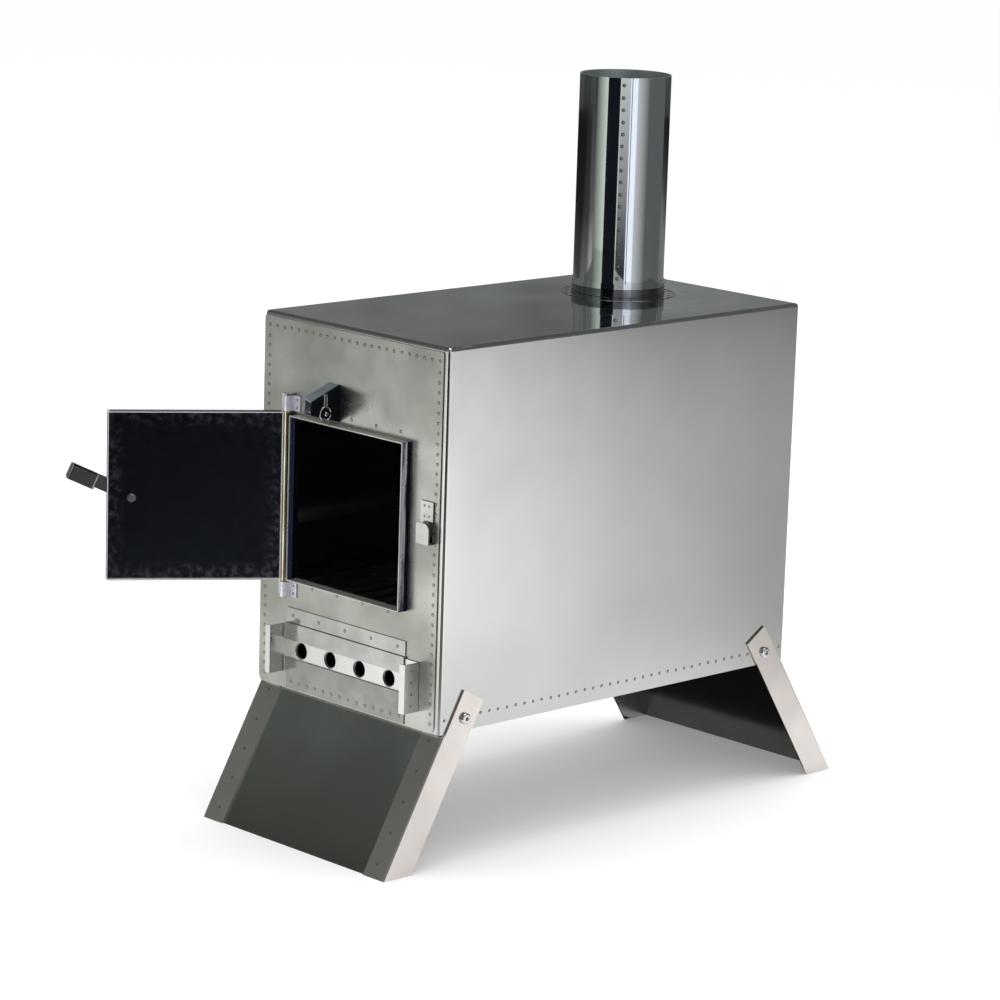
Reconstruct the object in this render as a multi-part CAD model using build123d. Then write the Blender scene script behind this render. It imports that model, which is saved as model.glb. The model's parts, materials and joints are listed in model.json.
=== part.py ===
from build123d import *
import math
import os

os.makedirs("parts", exist_ok=True)

# Camping wood stove in millimetres: +X to the right seen from the door side, +Y to the back, +Z up.
# The origin is on the ground under the middle of the body.

# Body shell, over the outside of the sheet
body_width = 229.0
body_length = 420.0
body_height = 322.0
underside_height = 113.5
sheet = 1.0
wrap_bend_radius = 3.0
wrap_flange_width = 13.0

# End panels, which lie on the wrap's flanges
panel_margin_left = 1.5
panel_margin_right = 5.5
panel_margin_top = 4.0
panel_lower_corner_radius = 6.0
panel_upper_corner_radius = 2.0

# Bottom tray between the sides
tray_side_height = 22.0
tray_end_height = 12.0
tray_gap = 0.3

# Square collar through the front panel, which the door closes over
collar_margin_left = 45.0
collar_margin_right = 42.5
collar_margin_top = 83.0
collar_margin_bottom = 97.0
collar_reach = 9.0
collar_flange_width = 10.0
collar_gap = 0.3

# Door pan, its liner and its hinge
door_free_overlap = 2.0
door_edge_overlap = 1.6
door_rim_clearance = 5.5
door_open_angle = 125.0
liner_gap = 0.4
liner_air_space = 4.0
liner_edge_gap = 0.3
door_bend_radius = 1.5
hinge_offset_x = 6.9
hinge_offset_y = 5.0
hinge_rod_radius = 2.0
hinge_running_gap = 0.05
barrel_wall = 0.8
barrel_weld_gap = 0.05
saddle_sheet = 1.2
saddle_rod_gap = 0.3
saddle_height = 13.0
saddle_door_gap = 1.0
saddle_flange_width = 8.0
hinge_rod_overhang = 1.0

# Latch lever on the outside of the door
latch_pivot_inset = 20.7
latch_pivot_rise = 69.4
latch_strap_width = 12.0
latch_strap_sheet = 2.0
latch_reach = 57.0
latch_rest_angle = 24.0
latch_running_gap = 0.06
latch_face_gap = 0.3
latch_hook_start = 32.5
latch_hook_sheet = 1.4
latch_hook_bend = 2.2
latch_screw_radius = 2.0
latch_screw_head_radius = 4.0
latch_screw_head_height = 2.6
latch_nut_flats = 7.0
latch_nut_height = 3.2
latch_nut_dome = 1.4
screw_clearance = 0.15

# Keeper on the front panel, open upward, which the latch hook drops into
keeper_sheet = 1.5
keeper_slot = 3.0
keeper_margin_right = 11.5
keeper_side_gap = 0.6
keeper_floor_gap = 0.3
keeper_tab_height = 17.6
keeper_plate_height = 35.0
keeper_tab_radius_left = 2.5
keeper_tab_radius_right = 6.0

# Air control: two stepped rails and a sliding strip with four holes
rail_margin_left = 38.5
rail_margin_right = 41.0
lower_rail_bottom = 1.0
rail_flange_height = 13.0
lower_rail_lip_height = 14.0
upper_rail_lip_height = 14.5
slide_height = 41.8
slide_gap = 0.3
slide_edge_gap = 0.4
slide_overrun_left = 3.0
slide_travel = 15.0
slide_end_gap = 0.5
slide_left_tab_reach = 18.0
slide_right_tab_reach = 16.0
slide_left_lip = 5.0
slide_right_lip = 6.5
air_hole_count = 4
air_hole_margin_left = 19.5
air_hole_margin_right = 19.0
air_hole_height = 36.5
slide_hole_radius = 7.5
panel_hole_radius = 6.75

# Hanger bracket over the door, with its bolt and wire eye
hanger_offset_left = 16.0
hanger_width = 14.0
hanger_reach = 31.0
hanger_short_reach = 26.5
hanger_collar_gap = 2.0
hanger_root_height = 31.5
hanger_tip_height = 11.0
hanger_tip_rise = 8.7
hanger_bolt_forward = 16.2
hanger_bolt_rise = 8.8
hanger_bolt_radius = 2.0
hanger_bolt_head_radius = 3.2
hanger_bolt_head_height = 1.6
hanger_bolt_tail_round = 1.0
hanger_eye_radius = 5.8
hanger_wire_radius = 0.7
hanger_stem_spacing = 2.4
hanger_eye_gap = 0.05

# Flue collar on the top plate and the first pipe section over it
flue_offset_left = 16.0
flue_back_inset = 96.0
flue_pipe_radius = 40.0
flue_pipe_wall = 0.8
flue_pipe_length = 184.5
flue_hem_height = 5.0
flue_hem_step = 1.2
spigot_gap = 0.5
spigot_wall = 1.0
spigot_height = 40.0
flue_bead_height = 8.5
flue_hole_gap = 0.3
flue_flange_radius = 50.0
pipe_seat_gap = 0.3

# Rails and grate inside the firebox
ledge_height = 145.0
ledge_width = 12.0
ledge_lip = 6.0
ledge_end_gap = 25.0
grate_height = 80.0
grate_rail_width = 12.0
grate_thickness = 2.5
grate_side_gap = 2.0
grate_end_gap = 14.0
grate_rail_end_gap = 10.0
grate_slot_width = 8.0
grate_slot_length = 76.0
grate_slot_columns = 9
grate_slot_rows = 4
grate_slot_pitch_x = 22.0
grate_slot_pitch_y = 92.0

# Folding legs: a web between two angles, pivoting on bolts through the sides
leg_pivot_inset = 28.0
leg_pivot_height = 11.0
front_leg_splay_angle = 29.0
rear_leg_splay_angle = 33.0
leg_angle_sheet = 1.5
leg_web_sheet = 1.0
leg_strap_inner = 12.5
leg_web_offset = 11.5
leg_strap_top = 20.6
leg_angle_flange = 26.0
leg_angle_bend = 2.0
leg_side_gap = 0.4
leg_web_side_gap = 0.2
leg_stop_gap = 0.3
leg_trim_margin = 20.0
leg_bolt_radius = 2.5
leg_bolt_running_gap = 0.08
leg_bolt_hole_gap = 0.1
leg_bolt_head_radius = 4.75
leg_bolt_head_height = 3.0
leg_bolt_head_round = 1.6
leg_bolt_socket_flats = 3.5
leg_bolt_socket_depth = 2.0
leg_bolt_head_gap = 0.2
leg_washer_radius = 5.0
leg_washer_thickness = 1.0
leg_nut_flats = 8.0
leg_nut_height = 4.0
leg_bolt_tail = 1.0

# Places that several pieces share
cut_margin = 5.0
half_width = body_width / 2
front_y = -body_length / 2
back_y = body_length / 2
underside_z = underside_height
top_z = underside_z + body_height
panel_inner_y = front_y + sheet
back_inner_y = back_y - sheet

collar_left = -half_width + collar_margin_left
collar_right = half_width - collar_margin_right
collar_low_z = underside_z + collar_margin_bottom
collar_high_z = top_z - collar_margin_top
collar_front_y = front_y - collar_reach

hinge_x = collar_left - hinge_offset_x
hinge_y = front_y - hinge_offset_y
hinge_axis = Axis((hinge_x, hinge_y, 0), (0, 0, 1))
barrel_bore_radius = hinge_rod_radius + hinge_running_gap
barrel_radius = barrel_bore_radius + barrel_wall
door_hinge_edge_x = hinge_x + barrel_radius + barrel_weld_gap
door_free_edge_x = collar_right + door_free_overlap
door_low_z = collar_low_z - door_edge_overlap
door_high_z = collar_high_z + door_edge_overlap
door_rim_y = front_y - door_rim_clearance
liner_face_y = collar_front_y - liner_gap
skin_inner_y = liner_face_y - sheet - liner_air_space
skin_face_y = skin_inner_y - sheet

latch_x = door_free_edge_x - latch_pivot_inset
latch_z = collar_low_z + latch_pivot_rise
latch_axis = Axis((latch_x, 0, latch_z), (0, 1, 0))
strap_inner_y = skin_face_y - latch_face_gap
strap_outer_y = strap_inner_y - latch_strap_sheet
keeper_slot_back_y = front_y - keeper_sheet
keeper_slot_front_y = keeper_slot_back_y - keeper_slot
hook_web_y = (keeper_slot_back_y + keeper_slot_front_y) / 2 + latch_hook_sheet / 2

slide_back_y = front_y - slide_gap
slide_front_y = slide_back_y - sheet
lip_inner_y = slide_front_y - slide_gap
lip_outer_y = lip_inner_y - sheet
slide_low_z = underside_z + lower_rail_bottom + rail_flange_height + sheet + slide_edge_gap
slide_high_z = slide_low_z + slide_height
upper_jog_z = slide_high_z + slide_edge_gap
rail_left = -half_width + rail_margin_left
rail_right = half_width - rail_margin_right
slide_left = rail_left - slide_overrun_left
slide_right = rail_right + slide_end_gap + slide_travel + sheet
first_hole_x = rail_left + air_hole_margin_left
last_hole_x = rail_right - air_hole_margin_right
air_hole_pitch = (last_hole_x - first_hole_x) / (air_hole_count - 1)
air_hole_places = [first_hole_x + air_hole_pitch * i for i in range(air_hole_count)]
air_hole_z = underside_z + air_hole_height

flue_x = -flue_offset_left
flue_y = back_y - flue_back_inset
pipe_bore_radius = flue_pipe_radius - flue_pipe_wall
spigot_radius = pipe_bore_radius - spigot_gap
flue_bead_radius = flue_pipe_radius + flue_hem_step
flue_hole_radius = flue_bead_radius + flue_hole_gap
pipe_low_z = top_z + flue_bead_height

leg_strap_outer = leg_web_offset + leg_web_sheet + leg_angle_sheet
leg_pivot_z = underside_z + leg_pivot_height
leg_inner_x = half_width + leg_side_gap
leg_outer_x = leg_inner_x + leg_angle_sheet
leg_ends = {
    "front": {"sign": -1, "splay": front_leg_splay_angle, "pivot_y": front_y + leg_pivot_inset},
    "rear": {"sign": 1, "splay": rear_leg_splay_angle, "pivot_y": back_y - leg_pivot_inset},
}


# Basic solids
def block(x0, x1, y0, y1, z0, z1):
    middle = Pos((x0 + x1) / 2, (y0 + y1) / 2, (z0 + z1) / 2)
    return middle * Box(abs(x1 - x0), abs(y1 - y0), abs(z1 - z0))


def rod(start, end, radius):
    along = Vector(*end) - Vector(*start)
    return Solid.make_cylinder(radius, along.length, Plane(start, z_dir=along))


def tube(start, end, outer_radius, inner_radius):
    return rod(start, end, outer_radius) - rod(start, end, inner_radius)


def hexagon(start, direction, across_flats, height):
    face = Plane(start, z_dir=direction) * RegularPolygon(across_flats / 2, 6, major_radius=False)
    return extrude(face, height)


# A plate cut to an outline of (y, z) points
def side_plate(outline, x0, x1):
    return extrude(Plane.YZ.offset(x0) * Polygon(*outline, align=None), x1 - x0, dir=(1, 0, 0))


# A folded pan: a face at y_face and four rims that end at y_rim
def pan(x0, x1, y_face, y_rim, z0, z1, bend):
    inward = math.copysign(1, y_rim - y_face)
    outer = block(x0, x1, y_face, y_rim, z0, z1)
    if bend:
        face_edges = [e for e in outer.edges() if abs(e.center().Y - y_face) < sheet / 2]
        outer = fillet(face_edges, bend)
    hollow = block(
        x0 + sheet, x1 - sheet,
        y_face + inward * sheet, y_rim + inward * cut_margin,
        z0 + sheet, z1 - sheet,
    )
    return outer - hollow


# Body shell
def leg_bolt_bores(radius):
    bores = []
    for end in leg_ends.values():
        left = (-half_width - cut_margin, end["pivot_y"], leg_pivot_z)
        right = (half_width + cut_margin, end["pivot_y"], leg_pivot_z)
        bores.append(rod(left, right, radius))
    return bores


def body_wrap():
    outer = block(-half_width, half_width, panel_inner_y, back_inner_y, underside_z, top_z)
    outer = fillet([e for e in outer.edges() if e.center().Z > underside_z], wrap_bend_radius)
    inner = block(
        -half_width + sheet, half_width - sheet,
        panel_inner_y + sheet, back_inner_y - sheet,
        underside_z - cut_margin, top_z - sheet,
    )
    inner_edges = [e for e in inner.edges() if e.center().Z > underside_z]
    inner = fillet(inner_edges, wrap_bend_radius - sheet)
    ends = block(
        -half_width + wrap_flange_width, half_width - wrap_flange_width,
        front_y - cut_margin, back_y + cut_margin,
        underside_z - cut_margin, top_z - wrap_flange_width,
    )
    flue_hole = rod(
        (flue_x, flue_y, top_z - cut_margin), (flue_x, flue_y, top_z + cut_margin), flue_hole_radius
    )
    wrap = outer - inner - ends - flue_hole
    for bore in leg_bolt_bores(leg_bolt_radius + leg_bolt_hole_gap):
        wrap -= bore
    return wrap


def end_panel(y0, y1):
    panel = block(
        -half_width + panel_margin_left, half_width - panel_margin_right,
        y0, y1, underside_z, top_z - panel_margin_top,
    )
    corners = panel.edges().filter_by(Axis.Y).sort_by(Axis.Z)
    panel = fillet(corners[:2], panel_lower_corner_radius)
    corners = panel.edges().filter_by(Axis.Y).sort_by(Axis.Z)
    return fillet(corners[-2:], panel_upper_corner_radius)


def front_panel():
    panel = end_panel(front_y, panel_inner_y)
    panel -= block(
        collar_left - collar_gap, collar_right + collar_gap,
        front_y - cut_margin, panel_inner_y + cut_margin,
        collar_low_z - collar_gap, collar_high_z + collar_gap,
    )
    for x in air_hole_places:
        panel -= rod(
            (x, front_y - cut_margin, air_hole_z), (x, front_y + cut_margin, air_hole_z),
            panel_hole_radius,
        )
    return panel


def back_panel():
    return end_panel(back_inner_y, back_y)


def bottom_tray():
    side_x = half_width - sheet
    tongue_x = half_width - wrap_flange_width - tray_gap
    low_y = panel_inner_y + wrap_bend_radius + tray_gap
    high_y = back_inner_y - wrap_bend_radius - tray_gap
    floor_z = underside_z + sheet
    tray = block(-side_x, side_x, low_y, high_y, underside_z, floor_z)
    tray += block(-tongue_x, tongue_x, panel_inner_y, back_inner_y, underside_z, floor_z)
    for side in (-1, 1):
        tray += block(
            side * (side_x - sheet), side * side_x, low_y, high_y,
            underside_z, underside_z + tray_side_height,
        )
    for y in (panel_inner_y, back_inner_y - sheet):
        tray += block(
            -tongue_x, tongue_x, y, y + sheet, underside_z, underside_z + tray_end_height
        )
    for bore in leg_bolt_bores(leg_bolt_radius + leg_bolt_hole_gap):
        tray -= bore
    return tray


def door_collar():
    collar = block(
        collar_left, collar_right, collar_front_y, panel_inner_y + sheet,
        collar_low_z, collar_high_z,
    )
    collar += block(
        collar_left - collar_flange_width, collar_right + collar_flange_width,
        panel_inner_y, panel_inner_y + sheet,
        collar_low_z - collar_flange_width, collar_high_z + collar_flange_width,
    )
    return collar - block(
        collar_left + sheet, collar_right - sheet,
        collar_front_y - cut_margin, panel_inner_y + cut_margin,
        collar_low_z + sheet, collar_high_z - sheet,
    )


# Flue: the collar's flange lies under the top sheet, and its bead and spigot stand up through the hole
def flue_collar():
    inner = spigot_radius - spigot_wall
    flange_top_z = top_z - sheet
    outline = [
        (inner, flange_top_z - sheet),
        (flue_flange_radius, flange_top_z - sheet),
        (flue_flange_radius, flange_top_z),
        (flue_bead_radius, flange_top_z),
        (flue_bead_radius, pipe_low_z - pipe_seat_gap),
        (spigot_radius, pipe_low_z - pipe_seat_gap),
        (spigot_radius, top_z + spigot_height),
        (inner, top_z + spigot_height),
    ]
    profile = Plane.XZ * Polygon(*outline, align=None)
    return Pos(flue_x, flue_y, 0) * revolve(profile, Axis.Z)


def flue_pipe():
    low = (flue_x, flue_y, pipe_low_z)
    hem_top = (flue_x, flue_y, pipe_low_z + flue_hem_height)
    high = (flue_x, flue_y, pipe_low_z + flue_pipe_length)
    pipe = tube(low, high, flue_pipe_radius, pipe_bore_radius)
    return pipe + tube(low, hem_top, flue_bead_radius, pipe_bore_radius)


# Door, modelled closed and then swung open about the hinge
def swung_open(shape):
    return shape.rotate(hinge_axis, -door_open_angle)


def hinge_saddle(low_z):
    high_z = low_z + saddle_height
    inner = hinge_rod_radius + saddle_rod_gap
    outer = inner + saddle_sheet
    reach = outer + saddle_flange_width
    saddle = rod((hinge_x, hinge_y, low_z), (hinge_x, hinge_y, high_z), outer)
    saddle = block(hinge_x - outer, hinge_x + outer, hinge_y, front_y, low_z, high_z) + saddle
    saddle += block(
        hinge_x - reach, hinge_x + reach, front_y - saddle_sheet, front_y, low_z, high_z
    )
    saddle -= rod(
        (hinge_x, hinge_y, low_z - cut_margin), (hinge_x, hinge_y, high_z + cut_margin), inner
    )
    return saddle - block(
        hinge_x - inner, hinge_x + inner, hinge_y, front_y + cut_margin,
        low_z - cut_margin, high_z + cut_margin,
    )


upper_saddle_z = door_high_z + saddle_door_gap
lower_saddle_z = door_low_z - saddle_door_gap - saddle_height


def hinge_rod():
    low = (hinge_x, hinge_y, lower_saddle_z - hinge_rod_overhang)
    high = (hinge_x, hinge_y, upper_saddle_z + saddle_height + hinge_rod_overhang)
    return rod(low, high, hinge_rod_radius)


def door_barrel():
    low = (hinge_x, hinge_y, door_low_z)
    high = (hinge_x, hinge_y, door_high_z)
    return swung_open(tube(low, high, barrel_radius, barrel_bore_radius))


def latch_bore(radius):
    return rod(
        (latch_x, strap_outer_y - cut_margin, latch_z), (latch_x, front_y, latch_z), radius
    )


def door_skin():
    skin = pan(
        door_hinge_edge_x, door_free_edge_x, skin_face_y, door_rim_y,
        door_low_z, door_high_z, door_bend_radius,
    )
    return swung_open(skin - latch_bore(latch_screw_radius + screw_clearance))


def door_liner():
    inset = sheet + liner_edge_gap
    liner = pan(
        door_hinge_edge_x + inset, door_free_edge_x - inset, liner_face_y, skin_inner_y,
        door_low_z + inset, door_high_z - inset, 0,
    )
    return swung_open(liner - latch_bore(latch_screw_radius + screw_clearance))


def latch_screw():
    head_y = strap_outer_y - latch_face_gap
    head = rod(
        (latch_x, head_y - latch_screw_head_height, latch_z), (latch_x, head_y, latch_z),
        latch_screw_head_radius,
    )
    head = fillet(
        [e for e in head.edges() if e.center().Y < head_y - latch_screw_head_height / 2],
        latch_screw_head_height / 2,
    )
    shank = rod(
        (latch_x, head_y, latch_z), (latch_x, liner_face_y + latch_nut_height, latch_z),
        latch_screw_radius,
    )
    return swung_open(head + shank)


def latch_nut():
    nut = hexagon((latch_x, liner_face_y, latch_z), (0, 1, 0), latch_nut_flats, latch_nut_height)
    nut_top = liner_face_y + latch_nut_height
    nut += rod(
        (latch_x, nut_top, latch_z), (latch_x, nut_top + latch_nut_dome, latch_z),
        latch_nut_flats / 2 - latch_nut_dome / 2,
    )
    bore = rod(
        (latch_x, liner_face_y - cut_margin, latch_z), (latch_x, nut_top, latch_z),
        latch_screw_radius + latch_running_gap,
    )
    return swung_open(nut - bore)


def raised(shape):
    return swung_open(shape.rotate(latch_axis, -latch_rest_angle))


def latch_lever():
    half = latch_strap_width / 2
    strap = block(
        latch_x, latch_x + latch_reach, strap_outer_y, strap_inner_y, latch_z - half, latch_z + half
    )
    strap += rod((latch_x, strap_outer_y, latch_z), (latch_x, strap_inner_y, latch_z), half)
    return raised(strap - latch_bore(latch_screw_radius + latch_running_gap))


def latch_hook():
    half = latch_strap_width / 2
    x0 = latch_x + latch_hook_start
    x1 = latch_x + latch_reach
    hook = block(x0, x1, strap_inner_y, hook_web_y, latch_z - half, latch_z + half)
    corners = [
        e for e in hook.edges().filter_by(Axis.Z) if e.center().Y > hook_web_y - latch_hook_sheet
    ]
    hook = fillet(corners, latch_hook_bend)
    inside = block(
        x0 + latch_hook_sheet, x1 - latch_hook_sheet,
        strap_inner_y - cut_margin, hook_web_y - latch_hook_sheet,
        latch_z - half - cut_margin, latch_z + half + cut_margin,
    )
    corners = [e for e in inside.edges().filter_by(Axis.Z) if e.center().Y > strap_inner_y]
    return raised(hook - fillet(corners, latch_hook_bend - latch_hook_sheet))


def latch_keeper():
    left = latch_x + latch_hook_start + latch_hook_sheet + keeper_side_gap
    right = half_width - keeper_margin_right
    slot_floor_z = latch_z - latch_strap_width / 2 - keeper_floor_gap
    low_z = slot_floor_z - keeper_sheet
    tab_front_y = keeper_slot_front_y - keeper_sheet
    tab = block(left, right, tab_front_y, keeper_slot_front_y, low_z, low_z + keeper_tab_height)
    corner = tab.edges().filter_by(Axis.Y).sort_by(Axis.Z)[-2:].sort_by(Axis.X)[0]
    tab = fillet(corner, keeper_tab_radius_left)
    corner = tab.edges().filter_by(Axis.Y).sort_by(Axis.X)[-2:].sort_by(Axis.Z)[-1]
    keeper = fillet(corner, keeper_tab_radius_right)
    keeper += block(left, right, tab_front_y, front_y, low_z, slot_floor_z)
    return keeper + block(
        left, right, keeper_slot_back_y, front_y, low_z, low_z + keeper_plate_height
    )


# Air control
def air_rail_lower():
    low_z = underside_z + lower_rail_bottom
    jog_z = low_z + rail_flange_height
    rail = block(rail_left, rail_right, front_y - sheet, front_y, low_z, jog_z)
    rail += block(rail_left, rail_right, lip_outer_y, front_y, jog_z, jog_z + sheet)
    return rail + block(
        rail_left, rail_right, lip_outer_y, lip_inner_y, jog_z, jog_z + lower_rail_lip_height
    )


def air_rail_upper():
    jog_z = upper_jog_z
    rail = block(
        rail_left, rail_right, front_y - sheet, front_y, jog_z, jog_z + sheet + rail_flange_height
    )
    rail += block(rail_left, rail_right, lip_outer_y, front_y, jog_z, jog_z + sheet)
    return rail + block(
        rail_left, rail_right, lip_outer_y, lip_inner_y, jog_z + sheet - upper_rail_lip_height, jog_z
    )


def air_slide():
    strip = block(slide_left, slide_right, slide_front_y, slide_back_y, slide_low_z, slide_high_z)
    for x in air_hole_places:
        strip -= rod(
            (x, slide_front_y - cut_margin, air_hole_z), (x, front_y, air_hole_z), slide_hole_radius
        )
    tabs = [
        (slide_left, slide_left + sheet, slide_left_tab_reach, slide_left - slide_left_lip),
        (slide_right - sheet, slide_right, slide_right_tab_reach, slide_right - slide_right_lip),
    ]
    for x0, x1, reach, lip_x in tabs:
        tab_y = front_y - reach
        strip += block(x0, x1, tab_y, slide_back_y, slide_low_z, slide_high_z)
        strip += block(lip_x, x1, tab_y, tab_y + sheet, slide_low_z, slide_high_z)
    return strip


# Hanger bracket: two tapered cheeks under a sloping roof
hanger_low_z = collar_high_z + hanger_collar_gap
hanger_right_x = -hanger_offset_left
hanger_left_x = hanger_right_x - hanger_width
hanger_bolt_y = front_y - hanger_bolt_forward
hanger_bolt_z = hanger_low_z + hanger_bolt_rise


def hanger_bracket():
    tip_y = front_y - hanger_reach
    root_top = hanger_low_z + hanger_root_height
    tip_low = hanger_low_z + hanger_tip_rise
    tip_top = tip_low + hanger_tip_height
    cheek = [(front_y, hanger_low_z), (tip_y, tip_low), (tip_y, tip_top), (front_y, root_top)]
    slope = (root_top - tip_top) / hanger_reach
    inner_root_y = front_y - sheet
    below_z = hanger_low_z - cut_margin
    beyond_y = tip_y - cut_margin
    hollow = [
        (inner_root_y, below_z),
        (beyond_y, below_z),
        (beyond_y, tip_top - sheet - cut_margin * slope),
        (inner_root_y, root_top - sheet - sheet * slope),
    ]
    bracket = side_plate(cheek, hanger_left_x, hanger_right_x)
    bracket -= side_plate(hollow, hanger_left_x + sheet, hanger_right_x - sheet)
    trim = Polygon(
        (hanger_right_x, tip_y),
        (hanger_left_x, front_y - hanger_short_reach),
        (hanger_left_x - cut_margin, front_y - hanger_short_reach),
        (hanger_left_x - cut_margin, beyond_y),
        (hanger_right_x, beyond_y),
        align=None,
    )
    bracket -= extrude(Plane.XY.offset(below_z) * trim, body_height, dir=(0, 0, 1))
    return bracket - rod(
        (hanger_left_x - cut_margin, hanger_bolt_y, hanger_bolt_z),
        (hanger_right_x + cut_margin, hanger_bolt_y, hanger_bolt_z),
        hanger_bolt_radius + screw_clearance,
    )


def hanger_bolt():
    head_x = hanger_left_x
    tail_x = hanger_right_x + hanger_eye_gap + 2 * hanger_wire_radius + hanger_bolt_head_height
    head = rod(
        (head_x - hanger_bolt_head_height, hanger_bolt_y, hanger_bolt_z),
        (head_x, hanger_bolt_y, hanger_bolt_z),
        hanger_bolt_head_radius,
    )
    shank = rod(
        (head_x, hanger_bolt_y, hanger_bolt_z), (tail_x, hanger_bolt_y, hanger_bolt_z),
        hanger_bolt_radius,
    )
    tail = shank.edges().sort_by(Axis.X)[-1]
    return head + fillet(tail, hanger_bolt_tail_round)


def hanger_eye():
    wire_x = hanger_right_x + hanger_eye_gap + hanger_wire_radius
    half_gap = hanger_stem_spacing / 2
    gap_angle = math.degrees(math.asin(half_gap / hanger_eye_radius))
    join_z = hanger_bolt_z + hanger_eye_radius * math.cos(math.radians(gap_angle))
    slope = (hanger_root_height - hanger_tip_rise - hanger_tip_height) / hanger_reach
    roof_z = hanger_low_z + hanger_root_height - hanger_bolt_forward * slope
    ring = Torus(hanger_eye_radius, hanger_wire_radius, major_angle=360 - 2 * gap_angle)
    ring = Pos(wire_x, hanger_bolt_y, hanger_bolt_z) * Rot(90 + gap_angle, 0, 0) * Rot(0, 90, 0) * ring
    for side in (-1, 1):
        y = hanger_bolt_y + side * half_gap
        ring += Pos(wire_x, y, join_z) * Sphere(hanger_wire_radius)
        ring += rod((wire_x, y, join_z), (wire_x, y, roof_z), hanger_wire_radius)
    return ring


# Inside the firebox
def ledge(side):
    wall_x = side * (half_width - sheet)
    inner_x = wall_x - side * ledge_width
    high_z = underside_z + ledge_height
    y0 = front_y + ledge_end_gap
    y1 = back_y - ledge_end_gap
    rail = block(wall_x, inner_x, y0, y1, high_z - sheet, high_z)
    rail += block(wall_x, wall_x - side * sheet, y0, y1, high_z - ledge_width, high_z)
    return rail + block(inner_x, inner_x + side * sheet, y0, y1, high_z - ledge_lip, high_z)


def grate_rail(side):
    wall_x = side * (half_width - sheet)
    high_z = underside_z + grate_height
    y0 = front_y + grate_rail_end_gap
    y1 = back_y - grate_rail_end_gap
    rail = block(wall_x, wall_x - side * grate_rail_width, y0, y1, high_z - sheet, high_z)
    return rail + block(
        wall_x, wall_x - side * sheet, y0, y1, high_z - grate_rail_width, high_z
    )


def grate():
    half = half_width - sheet - grate_side_gap
    low_z = underside_z + grate_height
    plate = block(
        -half, half, front_y + grate_end_gap, back_y - grate_end_gap, low_z, low_z + grate_thickness
    )
    slots = []
    for column in range(grate_slot_columns):
        x = grate_slot_pitch_x * (column - (grate_slot_columns - 1) / 2)
        for row in range(grate_slot_rows):
            y = grate_slot_pitch_y * (row - (grate_slot_rows - 1) / 2)
            slots.append(
                block(
                    x - grate_slot_width / 2, x + grate_slot_width / 2,
                    y - grate_slot_length / 2, y + grate_slot_length / 2,
                    low_z - cut_margin, low_z + grate_thickness + cut_margin,
                )
            )
    return plate - slots


# Legs, modelled hanging straight down from the pivot, then splayed and cut off level with the ground
def splayed(shape, end):
    pivot = Axis((0, end["pivot_y"], leg_pivot_z), (1, 0, 0))
    leg = shape.rotate(pivot, end["sign"] * end["splay"])
    reach = body_length + body_width
    return leg & block(-reach, reach, -reach, reach, 0, top_z)


def leg_top(end, offset):
    splay = math.radians(end["splay"])
    drop = (leg_pivot_height + offset * math.sin(splay) + leg_stop_gap) / math.cos(splay)
    return leg_pivot_z - drop


def leg_foot(end):
    splay = math.radians(end["splay"])
    reach = leg_pivot_z / math.cos(splay) + leg_strap_outer * math.tan(splay)
    return leg_pivot_z - reach - leg_trim_margin


def leg_panel(end):
    sign = end["sign"]
    half = leg_inner_x - leg_web_side_gap
    y0 = end["pivot_y"] + sign * leg_web_offset
    y1 = y0 + sign * leg_web_sheet
    web = block(-half, half, y0, y1, leg_foot(end), leg_top(end, leg_web_offset + leg_web_sheet))
    return splayed(web, end)


def leg_angle(end, side):
    sign = end["sign"]
    y_in = end["pivot_y"] - sign * leg_strap_inner
    y_out = end["pivot_y"] + sign * leg_strap_outer
    y_web = y_out - sign * leg_angle_sheet
    foot = leg_foot(end)
    neck = leg_top(end, leg_strap_outer)
    lower = block(side * leg_inner_x, side * leg_outer_x, y_in, y_out, foot, neck)
    lower += block(side * (leg_outer_x - leg_angle_flange), side * leg_outer_x, y_web, y_out, foot, neck)
    bend = [
        e for e in lower.edges().filter_by(Axis.Z)
        if abs(e.center().X - side * leg_outer_x) < leg_side_gap
        and abs(e.center().Y - y_out) < leg_side_gap
    ]
    lower = fillet(bend, leg_angle_bend)
    upper = block(
        side * leg_inner_x, side * leg_outer_x, y_in, y_web, neck, leg_pivot_z + leg_strap_top
    )
    bore = rod(
        (side * (leg_inner_x - cut_margin), end["pivot_y"], leg_pivot_z),
        (side * (leg_outer_x + cut_margin), end["pivot_y"], leg_pivot_z),
        leg_bolt_radius + leg_bolt_running_gap,
    )
    return splayed(lower + upper - bore, end)


# One leg bolt with its washer and nut at each of the four pivots
def at_pivots(make):
    return Compound([
        make(end["pivot_y"], side) for end in leg_ends.values() for side in (-1, 1)
    ])


washer_x = half_width - 2 * sheet
nut_x = washer_x - leg_washer_thickness


def leg_bolt(y, side):
    head_x = leg_outer_x + leg_bolt_head_gap
    top_x = head_x + leg_bolt_head_height
    tail_x = nut_x - leg_nut_height - leg_bolt_tail
    head = rod((side * head_x, y, leg_pivot_z), (side * top_x, y, leg_pivot_z), leg_bolt_head_radius)
    rim = [e for e in head.edges() if abs(e.center().X) > top_x - leg_bolt_head_gap]
    head = fillet(rim, leg_bolt_head_round)
    head += rod((side * tail_x, y, leg_pivot_z), (side * head_x, y, leg_pivot_z), leg_bolt_radius)
    socket_floor = side * (top_x - leg_bolt_socket_depth)
    return (head - hexagon(
        (socket_floor, y, leg_pivot_z), (side, 0, 0), leg_bolt_socket_flats, cut_margin
    )).solid()


def leg_washer(y, side):
    start = (side * nut_x, y, leg_pivot_z)
    end = (side * washer_x, y, leg_pivot_z)
    return tube(start, end, leg_washer_radius, leg_bolt_radius + leg_bolt_hole_gap).solid()


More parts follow.
